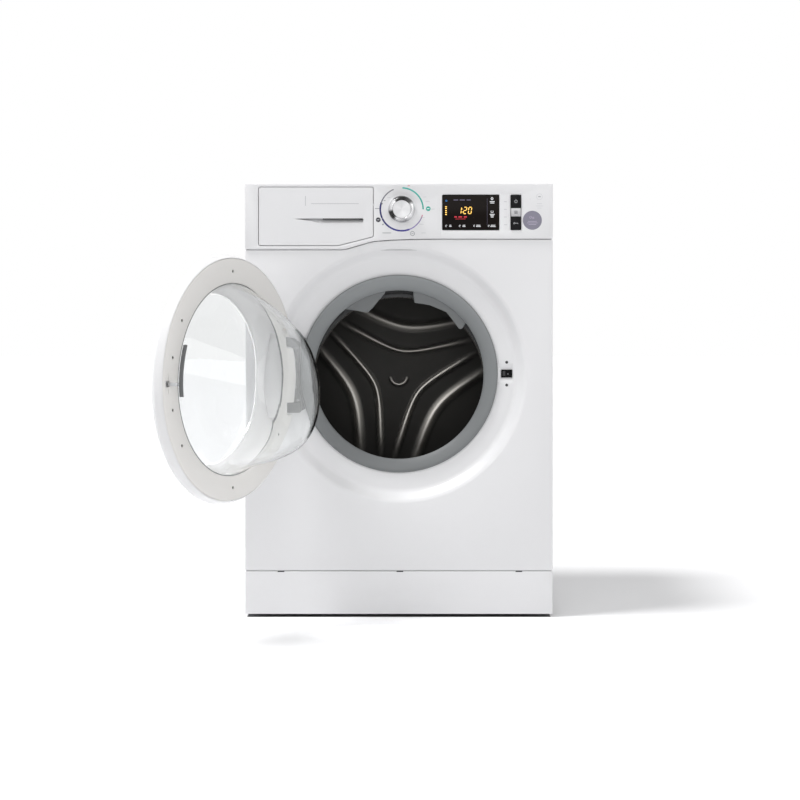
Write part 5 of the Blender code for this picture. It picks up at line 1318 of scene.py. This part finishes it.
class WASHER_OT_seal(bpy.types.Operator):
    """Door seal: lip, folds and the spray nozzles moulded into its top"""

    bl_idname = "washer.seal"
    bl_label = "Door Seal"

    def execute(self, context):
        r = sizes().seal_mouth
        centre = (0.0, 0.0, PORT)
        outside = smooth_line([
            (0.0170, 0.1934), (0.0146, 0.1930), (0.0138, 0.1905), (0.0142, 0.1860), (0.0170, 0.1790),
            (0.0215, 0.1715), (0.0255, r + 0.0014), (0.0290, r), (0.0325, r + 0.0008), (0.0365, 0.1710),
            (0.0410, 0.1770), (0.0460, 0.1806), (0.0520, 0.1790), (0.0570, 0.1770), (0.0620, 0.1784),
            (0.0650, 0.1785),
        ], 3) + [(0.0780, 0.1785), (0.0783, 0.1809)]
        inside = [(0.0650, 0.1811), (0.0570, 0.1800), (0.0520, 0.1822), (0.0455, 0.1838), (0.0385, 0.1790),
                  (0.0345, 0.1728), (0.0310, 0.1690), (0.0275, 0.1690), (0.0235, 0.1745), (0.0215, 0.1850),
                  (0.0238, 0.1890), (0.0176, 0.1893)]
        bellows = lathe(outside + inside, centre)
        for v in bellows.verts:
            v.co.z -= (PORT - DRUM) * min(1.0, max(0.0, (v.co.y - 0.0255) / 0.0385))
        seal = piece("seal_bellows", bellows, "cabinet", "seal", stands_for=("door_seal",))
        self.follow(seal)
        bead = [(0.0140, 0.1920), (0.0137, 0.1926), (0.0140, 0.1932), (0.0156, 0.1932), (0.0156, 0.1920)]
        piece("seal_wire", lathe(bead, centre), "cabinet", "seal_lumps")

        left = [(-0.1080, 0.6035), (-0.0850, 0.6005), (-0.0640, 0.5968), (-0.0600, 0.5975), (-0.0500, 0.6072),
                (-0.0402, 0.6198), (-0.0271, 0.6350), (-0.0280, 0.6450), (-0.0700, 0.6300), (-0.1060, 0.6080)]
        right = [(0.0281, 0.6365), (0.0300, 0.6180), (0.0315, 0.6158), (0.0606, 0.6112), (0.0932, 0.5975),
                 (0.1061, 0.5810), (0.1180, 0.5650), (0.1215, 0.5640), (0.1262, 0.5670), (0.1330, 0.5790),
                 (0.0980, 0.6160), (0.0600, 0.6370), (0.0290, 0.6440)]
        for name, outline in (("nozzle_left", left), ("nozzle_right", right)):
            bm = slab([(x, z - 0.0035) for x, z in outline], 0.0330, 0.0480)
            soften(bm, 0.0022, 4, 50.0)
            self.follow(piece(name, bm, "cabinet", "seal_lumps"))
        return {"FINISHED"}

    def follow(self, obj):
        """Leaves the piece without a parent or body, with its place baked into its mesh."""
        obj.parent = None
        obj.matrix_world = Matrix.Identity(4)
        del obj["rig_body"]
        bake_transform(obj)


class WASHER_OT_drum(bpy.types.Operator):
    """Drum: perforated wall, ridged back, lifters and the spider behind them"""

    bl_idname = "washer.drum"
    bl_label = "Drum"

    def ridge(self, x, z):
        """How far the drum's back stands forward at a point: three pairs of rounded ridges and a hub."""
        slope = 0.40
        lean = math.sqrt(1.0 + slope**2)
        height = 0.0
        for turn in (82.0, 202.0, 322.0):
            along = x * math.cos(math.radians(turn)) + z * math.sin(math.radians(turn))
            across = -x * math.sin(math.radians(turn)) + z * math.cos(math.radians(turn))
            for apex, bend, width, reach in ((0.054, 0.014, 0.0048, 0.185), (0.106, 0.022, 0.0076, 0.215)):
                crest = apex + math.sqrt(bend**2 + (slope * across) ** 2) - bend
                fade = min(1.0, max(0.0, (reach - math.hypot(x, z)) / 0.050))
                height = max(height, fade * math.exp(-(((along - crest) / (width * lean)) ** 2)))
            rise = (along - 0.054) / 0.012
            bowl = 1.0 / (1.0 + math.exp(-2.0 * rise))
            crest = 0.054 + math.sqrt(0.014**2 + (slope * across) ** 2) - 0.014
            plateau = 1.0 / (1.0 + math.exp(-(along - crest) / 0.0030))
            height = max(height, 0.02 * plateau * bowl)
        radius = math.hypot(x, z)
        hub = math.exp(-(((radius - 0.0175) / 0.0032) ** 2)) * 0.9 * max(0.0, -z / 0.0175) ** 0.7
        fade = min(1.0, max(0.0, (0.222 - radius) / 0.010))
        return sizes().ridge_height * max(height, hub) * fade * min(1.0, radius / 0.010)

    def execute(self, context):
        centre = (0.0, 0.0, DRUM)
        low, high = own_box("drum_back")
        face, back = low.y + 0.0066, high.y
        rim = (high.x - low.x) / 2
        rings = [(face, radius)
                 for radius in [0.0015 * k for k in range(148)] + [rim - 0.0100, rim - 0.0060]]
        rings += [(face - 0.0006, rim - 0.0040), (face - 0.0030, rim - 0.0020), (face - 0.0080, rim - 0.0012),
                  (face - 0.0080, rim), (back, rim), (back, 0.0)]
        bm = lathe(rings, centre, steps=192)
        for v in bm.verts:
            if abs(v.co.y - face) < 1e-6:
                v.co.y -= self.ridge(v.co.x, v.co.z - DRUM)
        pressing = piece("drum_back_pressing", bm, "drum", "drum_back", stands_for=("drum_back",),
                         angle=50.0)
        # The crest heights drive the painted highlights on the ridges.
        crest = pressing.data.attributes.new("crest", "FLOAT", "POINT")
        plane = (MACHINE @ Vector((0, face, 0))).y
        for spot, v in zip(crest.data, pressing.data.vertices):
            spot.value = max(0.0, plane - v.co.y) / sizes().ridge_height
        shell = smooth_line([
            (0.0960, 0.1690), (0.0925, 0.1688), (0.0912, 0.1705), (0.0914, 0.1760), (0.0930, 0.1850),
            (0.0960, 0.2050), (0.0990, 0.2240), (0.1020, 0.2320), (0.1080, 0.2372), (0.1120, 0.2380),
        ], 3) + [(0.4190, 0.2380), (0.4190, 0.2368), (0.1125, 0.2368), (0.1085, 0.2360), (0.1032, 0.2310),
                 (0.1002, 0.2235), (0.0972, 0.2050), (0.0942, 0.1850), (0.0926, 0.1762), (0.0926, 0.1708),
                 (0.0960, 0.1706)]
        piece("drum_wall_sheet", lathe(shell, centre, steps=144), "drum", "drum_wall",
              stands_for=("drum_shell",), angle=40.0)

        for i in range(3):
            node = f"lifter_{i + 1}"
            section = smooth_line([
                (-0.0300, 0.2335), (-0.0262, 0.2290), (-0.0232, 0.2180), (-0.0190, 0.2000), (-0.0120, 0.1860),
                (0.0, 0.1812), (0.0120, 0.1860), (0.0190, 0.2000), (0.0232, 0.2180), (0.0262, 0.2290),
                (0.0300, 0.2335),
            ], 3)
            bm = slab([(x, -r) for x, r in section], 0.1255, 0.4030)
            soften(bm, 0.0050, 4, 60.0)
            turn = Matrix.Translation(centre) @ Matrix.Rotation(math.radians(120 * i), 4, "Y")
            bmesh.ops.transform(bm, matrix=turn, verts=bm.verts)
            piece(f"{node}_paddle", bm, "drum", "dark_moulding", stands_for=(node,))
            holes = bmesh.new()
            for k in range(9):
                y = 0.150 + k * 0.0285
                spin(holes, [(-0.1816, 0.0), (-0.1816, 0.0016), (-0.1808, 0.0022), (-0.1800, 0.0022),
                             (-0.1800, 0.0)],
                     "Z", 12, 360.0, True, (0, y, 0))
            bmesh.ops.transform(holes, matrix=turn, verts=holes.verts)
            piece(f"{node}_holes", holes, "drum", "zinc")
        dress("drum_spider", "cast_alloy")
        return {"FINISHED"}


class WASHER_OT_cabinet(bpy.types.Operator):
    """Side panels, top cover, back, base, kick panel and feet"""

    bl_idname = "washer.cabinet"
    bl_label = "Cabinet"

    def side(self, name, direction):
        """A side panel with a shallow pressed field."""
        low, high = own_box(name)
        outer = direction * HALF
        bm = bmesh.new()
        verts = [bm.verts.new(p) for p in ((outer, low.y, low.z), (outer, high.y, low.z),
                                           (outer, high.y, high.z), (outer, low.y, high.z))]
        panel = bm.faces.new(verts)
        for inset, depth in ((0.055, 0.0), (0.010, 0.0022)):
            bmesh.ops.inset_individual(bm, faces=[panel], thickness=inset, depth=0.0)
            bmesh.ops.translate(bm, verts=panel.verts, vec=(-direction * depth, 0, 0))
        field = [e for e in bm.edges if abs(abs(e.verts[0].co.x - e.verts[1].co.x)) > 1e-4]
        bmesh.ops.bevel(bm, geom=field, offset=0.020, segments=5, profile=0.5, affect="EDGES",
                        offset_type="OFFSET", clamp_overlap=True, material=-1)
        border = [e for e in bm.edges if e.is_boundary]
        made = bmesh.ops.extrude_edge_only(bm, edges=border)
        moved = new_verts(made)
        bmesh.ops.translate(bm, verts=moved, vec=(-direction * 0.012, 0, 0))
        soften(bm, 0.0012, 3, 50.0)
        obj = piece(name + "_pressing", bm, "cabinet", "enamel")
        wall(obj, 0.0010)
        dress(name, "enamel")

    def execute(self, context):
        for name, direction in (("side_panel_left", -1), ("side_panel_right", 1)):
            self.side(name, direction)
        low, high = own_box("worktop")
        bm = brick(low, high)
        bmesh.ops.recalc_face_normals(bm, faces=bm.faces)
        top = max(bm.faces, key=lambda f: f.calc_center_median().z)
        bmesh.ops.inset_individual(bm, faces=[top], thickness=0.0120, depth=0.0)
        bmesh.ops.inset_individual(bm, faces=[top], thickness=0.0015, depth=-0.0008)
        soften(bm, 0.0028, 4, 50.0)
        piece("top_cover", bm, "cabinet", "moulding", stands_for=("worktop",))
        self.kick_panel()
        self.back()
        self.feet()
        dress("base_pan", "dark_moulding")
        return {"FINISHED"}

    def kick_panel(self):
        """The kick panel, its three catches, and grey strips behind the gaps above it and below the control
        panel, as painted shade in the gaps.
        """
        low, high = own_box("plinth")
        z = high.z
        catches = (0.2340, 0.0020, -0.2300)
        outline = [(low.x, low.z), (high.x, low.z), (high.x, z)]
        for x in catches:
            outline += [(x + 0.0072, z), (x + 0.0065, z - 0.0016), (x - 0.0065, z - 0.0016), (x - 0.0072, z)]
        outline.append((low.x, z))
        bm = bmesh.new()
        rings = flat_face(bm, (outline,), low.y)
        sweep_back(bm, rings[0], high.y)
        soften(bm, 0.0016, 3, 60.0,
               lambda e: all(v.co.z < z - 0.01 or abs(v.co.x) > HALF - 0.01 for v in e.verts))
        wall(piece("kick_panel", bm, "cabinet", "moulding", stands_for=("plinth",)),
             0.0018)
        dark = bmesh.new()
        for x in catches:
            # Painted shade: dark blocks behind the catch notches.
            brick((x - 0.0062, low.y + 0.0030, z - 0.0034), (x + 0.0062, low.y + 0.0120, z + 0.0006), dark)
        piece("kick_panel_catches", soften(dark, 0.0002, 1), "cabinet", "hollow_shade")
        # Painted shade: grey strips behind the gaps make them read dark.
        strip = brick((-HALF + 0.003, 0.004, z - 0.003), (HALF - 0.003, 0.010, z + 0.002))
        piece("kick_panel_shadow_strip", soften(strip, 0.0003, 1), "cabinet", "gap_shade")
        strip = brick((-HALF + 0.004, 0.0035, 0.7150), (HALF - 0.004, 0.0080, 0.7172))
        piece("waist_shadow_strip", soften(strip, 0.0003, 1), "cabinet", "gap_shade")

    def back(self):
        """The back sheet with its holes, the service cover, the water inlet and the clips."""
        low, high = own_box("back_panel")
        outline = rectangle((low.x, low.z), (high.x, high.z))
        bay_half, bay_low, bay_high = 0.1850, 0.2150, 0.6950
        service = rounded(rectangle((-bay_half, bay_low), (bay_half, bay_high)), 0.030)
        valve_place = (0.2250, 0.7800)
        holes = [service, circle(valve_place, 0.0145, 32), circle((-0.2250, 0.7600), 0.0096, 32)]
        for k in range(7):
            x = -0.045 + k * 0.015
            holes.append(rounded(rectangle((x - 0.0022, 0.7350), (x + 0.0022, 0.7750)), 0.0021, 3))
        for side in (-1, 1):
            holes.append(circle((side * 0.2450, 0.1200), 0.0065, 24))
        bm = slab(outline, low.y, high.y, holes=holes)
        piece("back_sheet", bm, "cabinet", "enamel", stands_for=("back_panel",))

        cover = bmesh.new()
        y = high.y + 0.0005 + 0.0011
        rings = []
        for inset, radius, depth in (
            (-0.0200, 0.0500, y), (-0.0185, 0.0485, y + 0.0004), (0.0030, 0.0270, y + 0.0004),
            (0.0060, 0.0240, y + 0.0020), (0.0090, 0.0210, y + 0.0080), (0.0120, 0.0180, y + 0.0098),
            (0.0450, 0.0160, y + 0.0098), (0.0500, 0.0120, y + 0.0050),
        ):
            step = rounded(rectangle((-bay_half + inset, bay_low + inset),
                                     (bay_half - inset, bay_high - inset)), radius)
            rings.append([cover.verts.new((x, depth, z)) for x, z in step])
        skin(cover, [loop_edges(cover, ring) for ring in rings])
        wall(piece("service_cover", cover, "cabinet", "enamel", stands_for=("back_cover",),
                   angle=18.0), 0.0010)

        heads = bmesh.new()
        for x, z in ((-0.1955, 0.2600), (-0.1955, 0.4550), (-0.1955, 0.6500), (0.1955, 0.2600),
                     (0.1955, 0.4550), (0.1955, 0.6500), (0.0, 0.2048), (0.0, 0.7052)):
            screw_head(heads, (x, y + 0.0004, z), 0.0046, 1.0)
        for x in (-0.280, -0.120, 0.120, 0.280):
            for z in (low.z + 0.012, high.z - 0.010):
                screw_head(heads, (x, high.y, z), 0.0044, 1.0)
        piece("back_screws", heads, "cabinet", "zinc")

        x, z = valve_place
        valve = lathe([(high.y + along, r) for along, r in (
            (-0.0500, 0.0), (-0.0500, 0.0160), (-0.0030, 0.0160), (-0.0030, 0.0128), (0.0010, 0.0128),
            (0.0014, 0.0120), (0.0022, 0.0128), (0.0034, 0.0120), (0.0046, 0.0128), (0.0058, 0.0120),
            (0.0070, 0.0128), (0.0082, 0.0120), (0.0094, 0.0128), (0.0112, 0.0122), (0.0118, 0.0110),
            (0.0118, 0.0090), (0.0020, 0.0085), (0.0020, 0.0),
        )], (x, 0, z), steps=48)
        brick((x - 0.0250, high.y - 0.0520, z - 0.0180), (x + 0.0250, high.y - 0.0040, z + 0.0180), valve)
        piece("valve_spout", valve, "cabinet", "tub", stands_for=("inlet_valve",))
        dress("cord_gland", "black_rubber")
        clip = bmesh.new()
        for z in (0.180, 0.500, 0.690):
            brick((0.2350, high.y, z - 0.009), (0.2560, high.y + 0.0100, z + 0.009), clip)
        piece("hose_clips", soften(clip, 0.0020, 3), "cabinet", "grey_moulding")

    def feet(self):
        """Four levelling feet: a ribbed rubber pad on a threaded stud."""
        for name in ("foot_front_left", "foot_front_right", "foot_back_left", "foot_back_right"):
            low, high = own_box(name)
            centre = ((low.x + high.x) / 2, (low.y + high.y) / 2, 0.0)
            radius = (high.x - low.x) / 2
            pad = smooth_line([(0.0, radius - 0.0030), (0.0006, radius - 0.0012), (0.0022, radius),
                               (0.0058, radius - 0.0004), (0.0070, radius - 0.0030)], 3)
            pad = [(0.0, 0.0), *pad, (0.0086, 0.0120), (0.0096, 0.0085), (0.0098, 0.0)]
            bm = lathe(pad, centre, "Z", 64)
            for k in range(18):
                turn = math.radians(20 * k)
                x, y = centre[0] + math.cos(turn) * radius, centre[1] + math.sin(turn) * radius
                spin(bm, [(0.0018, 0.0), (0.0018, 0.0012), (0.0056, 0.0012), (0.0056, 0.0)], "Z", 6, 360.0,
                     True, (x, y, 0))
            piece(name + "_pad", bm, name, "black_rubber", stands_for=(name,))
            thread = [(0.0096, 0.0), (0.0096, 0.0085), (0.0128, 0.0085), (0.0130, 0.0048)]
            z = 0.0132
            while z < 0.0418:
                thread += [(z, 0.0044), (z + 0.0007, 0.0050)]
                z += 0.0014
            thread += [(0.0428, 0.0040), (0.0428, 0.0)]
            piece(name + "_stud", lathe(thread, centre, "Z", 24), name, "zinc")


class WASHER_OT_works(bpy.types.Operator):
    """Tub, counterweights, suspension, motor, belt drive and pump behind the panels"""

    bl_idname = "washer.works"
    bl_label = "Works"

    def execute(self, context):
        for node, look in (
            # Painted shade: the tub's front is near black, darker than the grey tub behind, for the dark gap
            # round the drum's mouth.
            ("tub_front", "dark_moulding"), ("tub_rear", "tub"), ("front_counterweight", "cast_weight"),
            ("top_counterweight", "cast_weight"), ("bearing_front", "zinc"), ("bearing_rear", "zinc"),
            ("heater", "zinc"), ("motor", "cast_alloy"), ("motor_pulley", "zinc"),
            ("drum_pulley", "cast_alloy"), ("damper_case_left", "dark_moulding"),
            ("damper_case_right", "dark_moulding"),
            ("damper_rod_left", "zinc"), ("damper_rod_right", "zinc"), ("spring_left", "zinc"),
            ("spring_right", "zinc"), ("drive_belt", "black_rubber"), ("drain_pump", "grey_moulding"),
            ("filter_cap", "grey_moulding"),
        ):
            dress(node, look)
        centre = (0.0, 0.0, DRUM)
        ribs = bmesh.new()
        for k in range(18):
            bm = brick((-0.0015, 0.4595, 0.0560), (0.0015, 0.4650, 0.2450))
            brick((-0.0015, 0.2600, 0.2560), (0.0015, 0.4500, 0.2600), bm)
            turn = Matrix.Translation(centre) @ Matrix.Rotation(math.radians(20 * k + 10), 4, "Y")
            bmesh.ops.transform(bm, matrix=turn, verts=bm.verts)
            merge(bm, ribs)
        for radius in (0.110, 0.170, 0.225):
            spin(ribs, [(0.4595, radius - 0.0015), (0.4595, radius + 0.0015), (0.4640, radius + 0.0012),
                        (0.4640, radius - 0.0012)], "Y", 96, 360.0, True, centre)
        piece("tub_ribs", ribs, "tub", "tub")
        bolts = bmesh.new()
        for k in range(16):
            angle = 22.5 * k + 8.0
            x, z = on_circle((0.0, DRUM), 0.2625, angle)
            screw_head(bolts, (x, 0.2420, z), 0.0045)
        screw_head(bolts, (0.0, 0.5205, DRUM), 0.0090, 1.0)
        for x in (-0.030, 0.030):
            screw_head(bolts, (x, 0.4530, 0.1120), 0.0050, 1.0)
        piece("tub_bolts", bolts, "tub", "zinc")
        return {"FINISHED"}


class WASHER_OT_stage(bpy.types.Operator):
    """Pale floor, soft studio light, backdrop colour and camera"""

    bl_idname = "washer.stage"
    bl_label = "Stage"

    def execute(self, context):
        scene = context.scene
        scene.view_settings.view_transform = "Standard"
        floor = bmesh.new()
        bmesh.ops.create_grid(floor, x_segments=1, y_segments=1, size=14.0)
        mesh = bpy.data.meshes.new("floor")
        floor.to_mesh(mesh)
        floor.free()
        ground = bpy.data.objects.new("floor", mesh)
        scene.collection.objects.link(ground)
        mesh.materials.append(self.paper())

        self.world(scene)
        sun = bpy.data.lights.new("window_light", "SUN")
        sun.energy = 2.4
        sun.angle = math.radians(18)
        window = bpy.data.objects.new("window_light", sun)
        window.rotation_euler = Vector((0.40, 0.12, -0.845)).to_track_quat("-Z", "Y").to_euler()
        scene.collection.objects.link(window)
        self.lamp("front", (-0.6, -3.8, 2.3), 2.8, 26.0)
        self.lamp("side", (3.4, -1.5, 1.3), 2.2, 13.0)

        camera = bpy.data.cameras.new("camera")
        camera.sensor_width = 36.0
        distance = 4.5
        eye_height = 0.67
        camera.lens = 103.8825
        camera.shift_x = 0.0014
        camera.shift_y = -0.1581375
        camera.clip_end = 60.0
        eye = bpy.data.objects.new("camera", camera)
        eye.location = MACHINE @ Vector((0.0, -distance, eye_height))
        eye.rotation_euler = (math.radians(90), 0, 0)
        scene.collection.objects.link(eye)
        scene.camera = eye
        return {"FINISHED"}

    def lamp(self, name, place, size, watts):
        """A soft square lamp that looks at the machine."""
        data = bpy.data.lights.new(name, "AREA")
        data.shape = "SQUARE"
        data.size = size
        data.energy = watts
        lamp = bpy.data.objects.new(name, data)
        lamp.location = MACHINE @ Vector(place)
        aim = MACHINE @ Vector((0.0, 0.25, 0.42)) - lamp.location
        lamp.rotation_euler = aim.to_track_quat("-Z", "Y").to_euler()
        bpy.context.scene.collection.objects.link(lamp)

    def paper(self):
        """White studio floor: it shows as the backdrop's white, keeps the shadow, and is painted dark
        underneath the machine as a painted contact shadow.
        """
        g = Graph("studio_floor")
        g.tree.nodes.remove(g.shader)
        out = g.tree.nodes["Material Output"]
        half_depth = (WORKTOP_HIGH.y - PANEL_LOW.y) / 2
        middle = row_point(0, half_depth, 0)
        side, deep, _ = g.split(g.moved(location=tuple(-middle)))
        # Painted shadow: the machine's footprint is darkened and loses its glow.
        painted_contact_shadow = g.maths("MULTIPLY", g.maths("LESS_THAN", g.maths("ABSOLUTE", side), HALF - 0.004),
                        g.maths("LESS_THAN", g.maths("ABSOLUTE", deep), half_depth - 0.004))
        path = g.node("ShaderNodeLightPath")
        seen = g.maths("MAXIMUM", path.outputs["Is Camera Ray"], path.outputs["Is Transmission Ray"])
        plain = g.node("ShaderNodeBsdfDiffuse")
        g.feed(plain.inputs["Color"], g.blend(painted_contact_shadow, (0.80, 0.80, 0.81), (0.30, 0.30, 0.31)))
        glow = g.node("ShaderNodeEmission")
        g.feed(glow.inputs["Strength"], g.maths("MULTIPLY", seen, g.between(painted_contact_shadow, 0.18, 0.0)))
        add = g.node("ShaderNodeAddShader")
        g.feed(add.inputs[0], plain.outputs[0])
        g.feed(add.inputs[1], glow.outputs[0])
        g.feed(out.inputs["Surface"], add.outputs[0])
        return g.material

    def world(self, scene):
        """An even sky: white where the camera, glass and metal see it, softer as light."""
        world = bpy.data.worlds.new("studio")
        scene.world = world
        world.use_nodes = True
        tree = world.node_tree
        background = tree.nodes["Background"]
        background.inputs["Color"].default_value = (1.0, 1.0, 1.0, 1.0)
        path = tree.nodes.new("ShaderNodeLightPath")
        seen = tree.nodes.new("ShaderNodeMath")
        seen.operation = "MAXIMUM"
        shiny = tree.nodes.new("ShaderNodeMath")
        shiny.operation = "MAXIMUM"
        tree.links.new(path.outputs["Is Camera Ray"], seen.inputs[0])
        tree.links.new(path.outputs["Is Transmission Ray"], seen.inputs[1])
        tree.links.new(seen.outputs[0], shiny.inputs[0])
        tree.links.new(path.outputs["Is Glossy Ray"], shiny.inputs[1])
        strength = tree.nodes.new("ShaderNodeMapRange")
        strength.inputs["To Min"].default_value = 0.46
        strength.inputs["To Max"].default_value = 1.0
        tree.links.new(shiny.outputs[0], strength.inputs["Value"])
        tree.links.new(strength.outputs[0], background.inputs["Strength"])


class WASHER_PT_panel(bpy.types.Panel):
    """Lists the machine's pieces in the order in which they are made"""

    bl_label = "Front Load Washer"
    bl_idname = "WASHER_PT_panel"
    bl_space_type = "VIEW_3D"
    bl_region_type = "UI"
    bl_category = "Washer"

    def draw(self, context):
        layout = self.layout
        for group in (context.scene.washer_sizes, context.scene.washer_finishes):
            box = layout.box()
            for key in group.__annotations__:
                box.prop(group, key)
        for operator in OPERATORS:
            layout.operator(operator.bl_idname)


OPERATORS = (
    WASHER_OT_cabinet, WASHER_OT_front_panel, WASHER_OT_control_panel, WASHER_OT_display, WASHER_OT_knob,
    WASHER_OT_buttons, WASHER_OT_drawer, WASHER_OT_door, WASHER_OT_seal, WASHER_OT_drum, WASHER_OT_works,
    WASHER_OT_stage,
)
CLASSES = (WasherFinishes, WasherSizes, *OPERATORS, WASHER_PT_panel)


def register():
    for cls in CLASSES:
        bpy.utils.register_class(cls)
    bpy.types.Scene.washer_finishes = PointerProperty(type=WasherFinishes)
    bpy.types.Scene.washer_sizes = PointerProperty(type=WasherSizes)


def unregister():
    del bpy.types.Scene.washer_sizes
    del bpy.types.Scene.washer_finishes
    for cls in reversed(CLASSES):
        bpy.utils.unregister_class(cls)


def main():
    register()
    for operator in OPERATORS:
        group, name = operator.bl_idname.split(".")
        getattr(getattr(bpy.ops, group), name)()


if __name__ == "__main__":
    main()
